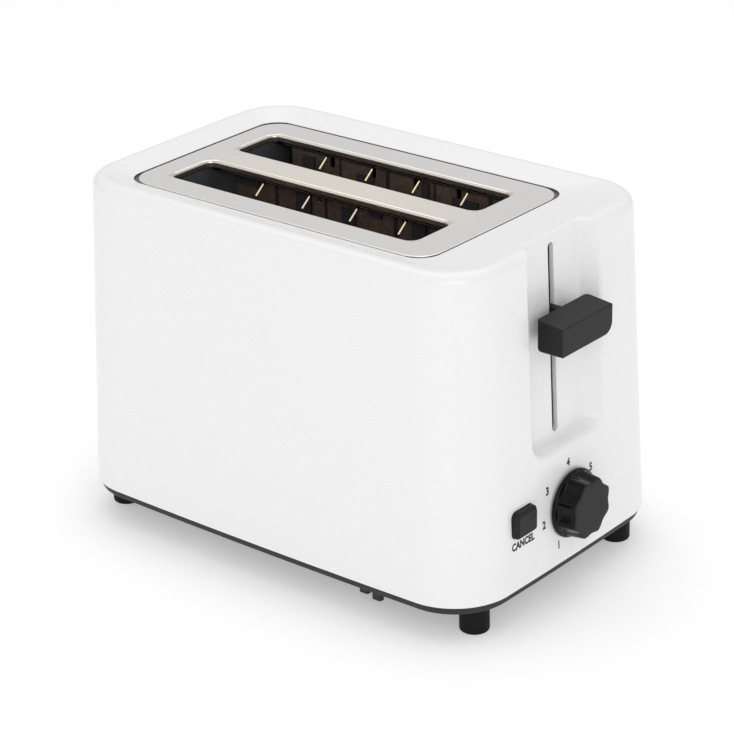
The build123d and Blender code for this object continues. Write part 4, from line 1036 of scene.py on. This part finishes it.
@dataclass
class PrintedMarks:
    """The dial's numbers and the word under the button, printed on the end of the housing.

    Attributes:
        ink: the printing ink.
        number_height: height of a number, in metres.
        number_places: turn of each number about the dial, in degrees from +Y towards +Z, and its distance from the
            dial's axis in millimetres.
        word: the generic word under the button.
        word_height: height of its letters.
        word_drop: distance from the button's middle down to the word's middle.
        text_size: the text's size against the height of its capitals.
        condense: width of a letter against its plain width.
        boldness: how far each stroke is thickened on both sides.
        lift: how far the ink stands off the housing.
        start: how far outside the housing the lettering is made, before it is laid on.
    """

    ink: bpy.types.Material
    number_height: float = 3.8 * MM
    number_places: tuple = ((240.0, 20.1), (190.0, 20.9), (146.0, 21.0), (94.0, 19.8), (35.0, 19.1))
    word: str = "CANCEL"
    word_height: float = 3.5 * MM
    word_drop: float = 10.4 * MM
    text_size: float = 1.38
    condense: float = 0.86
    boldness: float = 0.24 * MM
    lift: float = 0.03 * MM
    start: float = 20.0 * MM

    def _letters(self, name: str, text: str, height: float, y: float, z: float) -> None:
        """Makes flat lettering on the end of the housing.

        Args:
            name: the piece's name.
            text: the characters.
            height: their height.
            y: place of their middle along Y.
            z: place of their middle along Z.
        """
        deselect()
        place = (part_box("housing_shell")[1].x + self.start, y, z)
        bpy.ops.object.text_add(location=place, rotation=(math.pi / 2, 0, math.pi / 2))
        made = bpy.context.object
        made.name = name
        made.data.body = text
        made.data.size = height * self.text_size
        made.data.align_x = "CENTER"
        made.data.align_y = "CENTER"
        made.data.offset = self.boldness
        made.data.resolution_u = 6
        activate(made)
        bpy.ops.object.convert(target="MESH")
        made = bpy.context.object
        made.scale.x = self.condense
        settle(made)
        wrap = made.modifiers.new("lay", "SHRINKWRAP")
        wrap.target = bpy.data.objects["housing_shell"]
        wrap.wrap_method = "PROJECT"
        wrap.use_project_x, wrap.use_negative_direction, wrap.use_positive_direction = True, True, False
        wrap.offset = self.lift
        activate(made)
        bpy.ops.object.modifier_apply(modifier=wrap.name)
        dress(made, self.ink)
        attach(made, "housing")

    def build(self) -> None:
        """Prints the numbers and the word."""
        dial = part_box("dial_knob")
        mid_y, mid_z = (dial[0].y + dial[1].y) / 2, (dial[0].z + dial[1].z) / 2
        for number, (angle, radius) in enumerate(self.number_places, start=1):
            turn = math.radians(angle)
            y = mid_y + radius * MM * math.cos(turn)
            z = mid_z + radius * MM * math.sin(turn)
            self._letters(f"dial_number_{number}", str(number), self.number_height, y, z)
        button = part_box("cancel_button")
        y, z = (button[0].y + button[1].y) / 2, (button[0].z + button[1].z) / 2 - self.word_drop
        self._letters("button_word", self.word, self.word_height, y, z)


# ---- studio -------------------------------------------------------------------------------------------------------


@dataclass(frozen=True)
class Lamp:
    """One soft area light, aimed at the toaster.

    Attributes:
        name: the light's name.
        place: where it hangs.
        side: its width and height.
        power: its power in watts.
    """

    name: str
    place: tuple[float, float, float]
    side: float
    power: float

    def hang(self, aim: tuple[float, float, float]) -> None:
        """Adds the light.

        Args:
            aim: what it points at.
        """
        line = Vector(aim) - Vector(self.place)
        turn = line.to_track_quat("-Z", "Y").to_euler()
        deselect()
        bpy.ops.object.light_add(type="AREA", location=self.place, rotation=turn)
        lamp = bpy.context.object
        lamp.name = self.name
        lamp.data.shape = "RECTANGLE"
        lamp.data.size = lamp.data.size_y = self.side
        lamp.data.energy = self.power


@dataclass
class Studio:
    """Floor, lights and camera.

    Attributes:
        azimuth: camera's turn round the toaster from -Y towards +X, in degrees.
        elevation: its height above the horizon, in degrees.
        roll: its turn about its own axis, in degrees.
        distance: from the aim point, in metres.
        aim_height: height of the aim point.
        slide: shift of the camera along its own right and up.
        lens: focal length in millimetres.
        sensor: width of the sensor in millimetres.
        sight: how far the camera sees.
        floor_side: side of the square floor.
        surround: brightness of the white surroundings.
        lamps: the lights.
        lamp_aim: what they point at.
    """

    azimuth: float = 39.91
    elevation: float = 23.90
    roll: float = -1.44
    distance: float = 1.2384
    aim_height: float = 0.0864
    slide: tuple[float, float] = (0.00184, -0.00722)
    lens: float = 130.5
    sensor: float = 36.0
    sight: float = 20.0
    floor_side: float = 12.0
    surround: float = 0.69
    lamps: tuple[Lamp, ...] = (
        Lamp("overhead", (-0.2, 0.3, 1.5), 1.6, 6.6),
        Lamp("front_left", (-0.9, -1.5, 0.9), 1.2, 1.7),
        Lamp("key", (1.25, -1.2, 0.9), 1.2, 7.0),
    )
    lamp_aim: tuple[float, float, float] = (0.0, 0.0, 0.08)

    def camera(self) -> None:
        """Places the camera."""
        azimuth, elevation, roll = (math.radians(v) for v in (self.azimuth, self.elevation, self.roll))
        back = Vector((math.sin(azimuth) * math.cos(elevation), -math.cos(azimuth) * math.cos(elevation),
                       math.sin(elevation)))
        right = Vector((math.cos(azimuth), math.sin(azimuth), 0.0))
        up = back.cross(right)
        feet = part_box("feet")
        aim = Vector(((feet[0].x + feet[1].x) / 2, (feet[0].y + feet[1].y) / 2, self.aim_height))
        place = aim + back * self.distance + right * self.slide[0] + up * self.slide[1]
        rolled_right = right * math.cos(roll) + up * math.sin(roll)
        rolled_up = up * math.cos(roll) - right * math.sin(roll)
        turn = Matrix((rolled_right, rolled_up, back)).transposed()
        deselect()
        bpy.ops.object.camera_add(location=place, rotation=turn.to_euler())
        camera = bpy.context.object
        camera.data.lens = self.lens
        camera.data.sensor_width = self.sensor
        camera.data.clip_end = self.sight
        bpy.context.scene.camera = camera

    def floor(self) -> None:
        """Lays the pale floor."""
        deselect()
        bpy.ops.mesh.primitive_plane_add(size=self.floor_side, location=(0, 0, 0))
        floor = bpy.context.object
        floor.name = "studio_floor"
        settle(floor)
        dress(floor, StudioFloor().make())

    def lights(self) -> None:
        """Hangs the lights and sets the surroundings."""
        world = bpy.data.worlds.new("studio")
        world.use_nodes = True
        background = next(n for n in world.node_tree.nodes if n.type == "BACKGROUND")
        background.inputs["Color"].default_value = (1.0, 1.0, 1.0, 1.0)
        background.inputs["Strength"].default_value = self.surround
        bpy.context.scene.world = world
        for lamp in self.lamps:
            lamp.hang(self.lamp_aim)
        bpy.context.scene.view_settings.view_transform = "Standard"
        bpy.context.scene.view_settings.look = "None"


def main() -> None:
    """Builds every part of the picture in order."""
    logging.basicConfig(level=logging.INFO, format="%(name)s: %(message)s")
    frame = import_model()
    studio = Studio()
    studio.camera()
    finishes = Finishes()
    finish_of_node = {node: finish for finish, nodes in NODES_OF_FINISH.items() for node in nodes}
    for name, obj in frame["nodes"].items():
        dress(obj, finishes[finish_of_node[name]])
        LOG.info("finished node %s", name)
    BoardTabs(finishes).build()
    FlutedDial(finishes["dial_black"]).build()
    LiftSpring(finishes["polished_steel"]).build()
    PrintedMarks(finishes["print_ink"]).build()
    studio.floor()
    studio.lights()


if __name__ == "__main__":
    main()
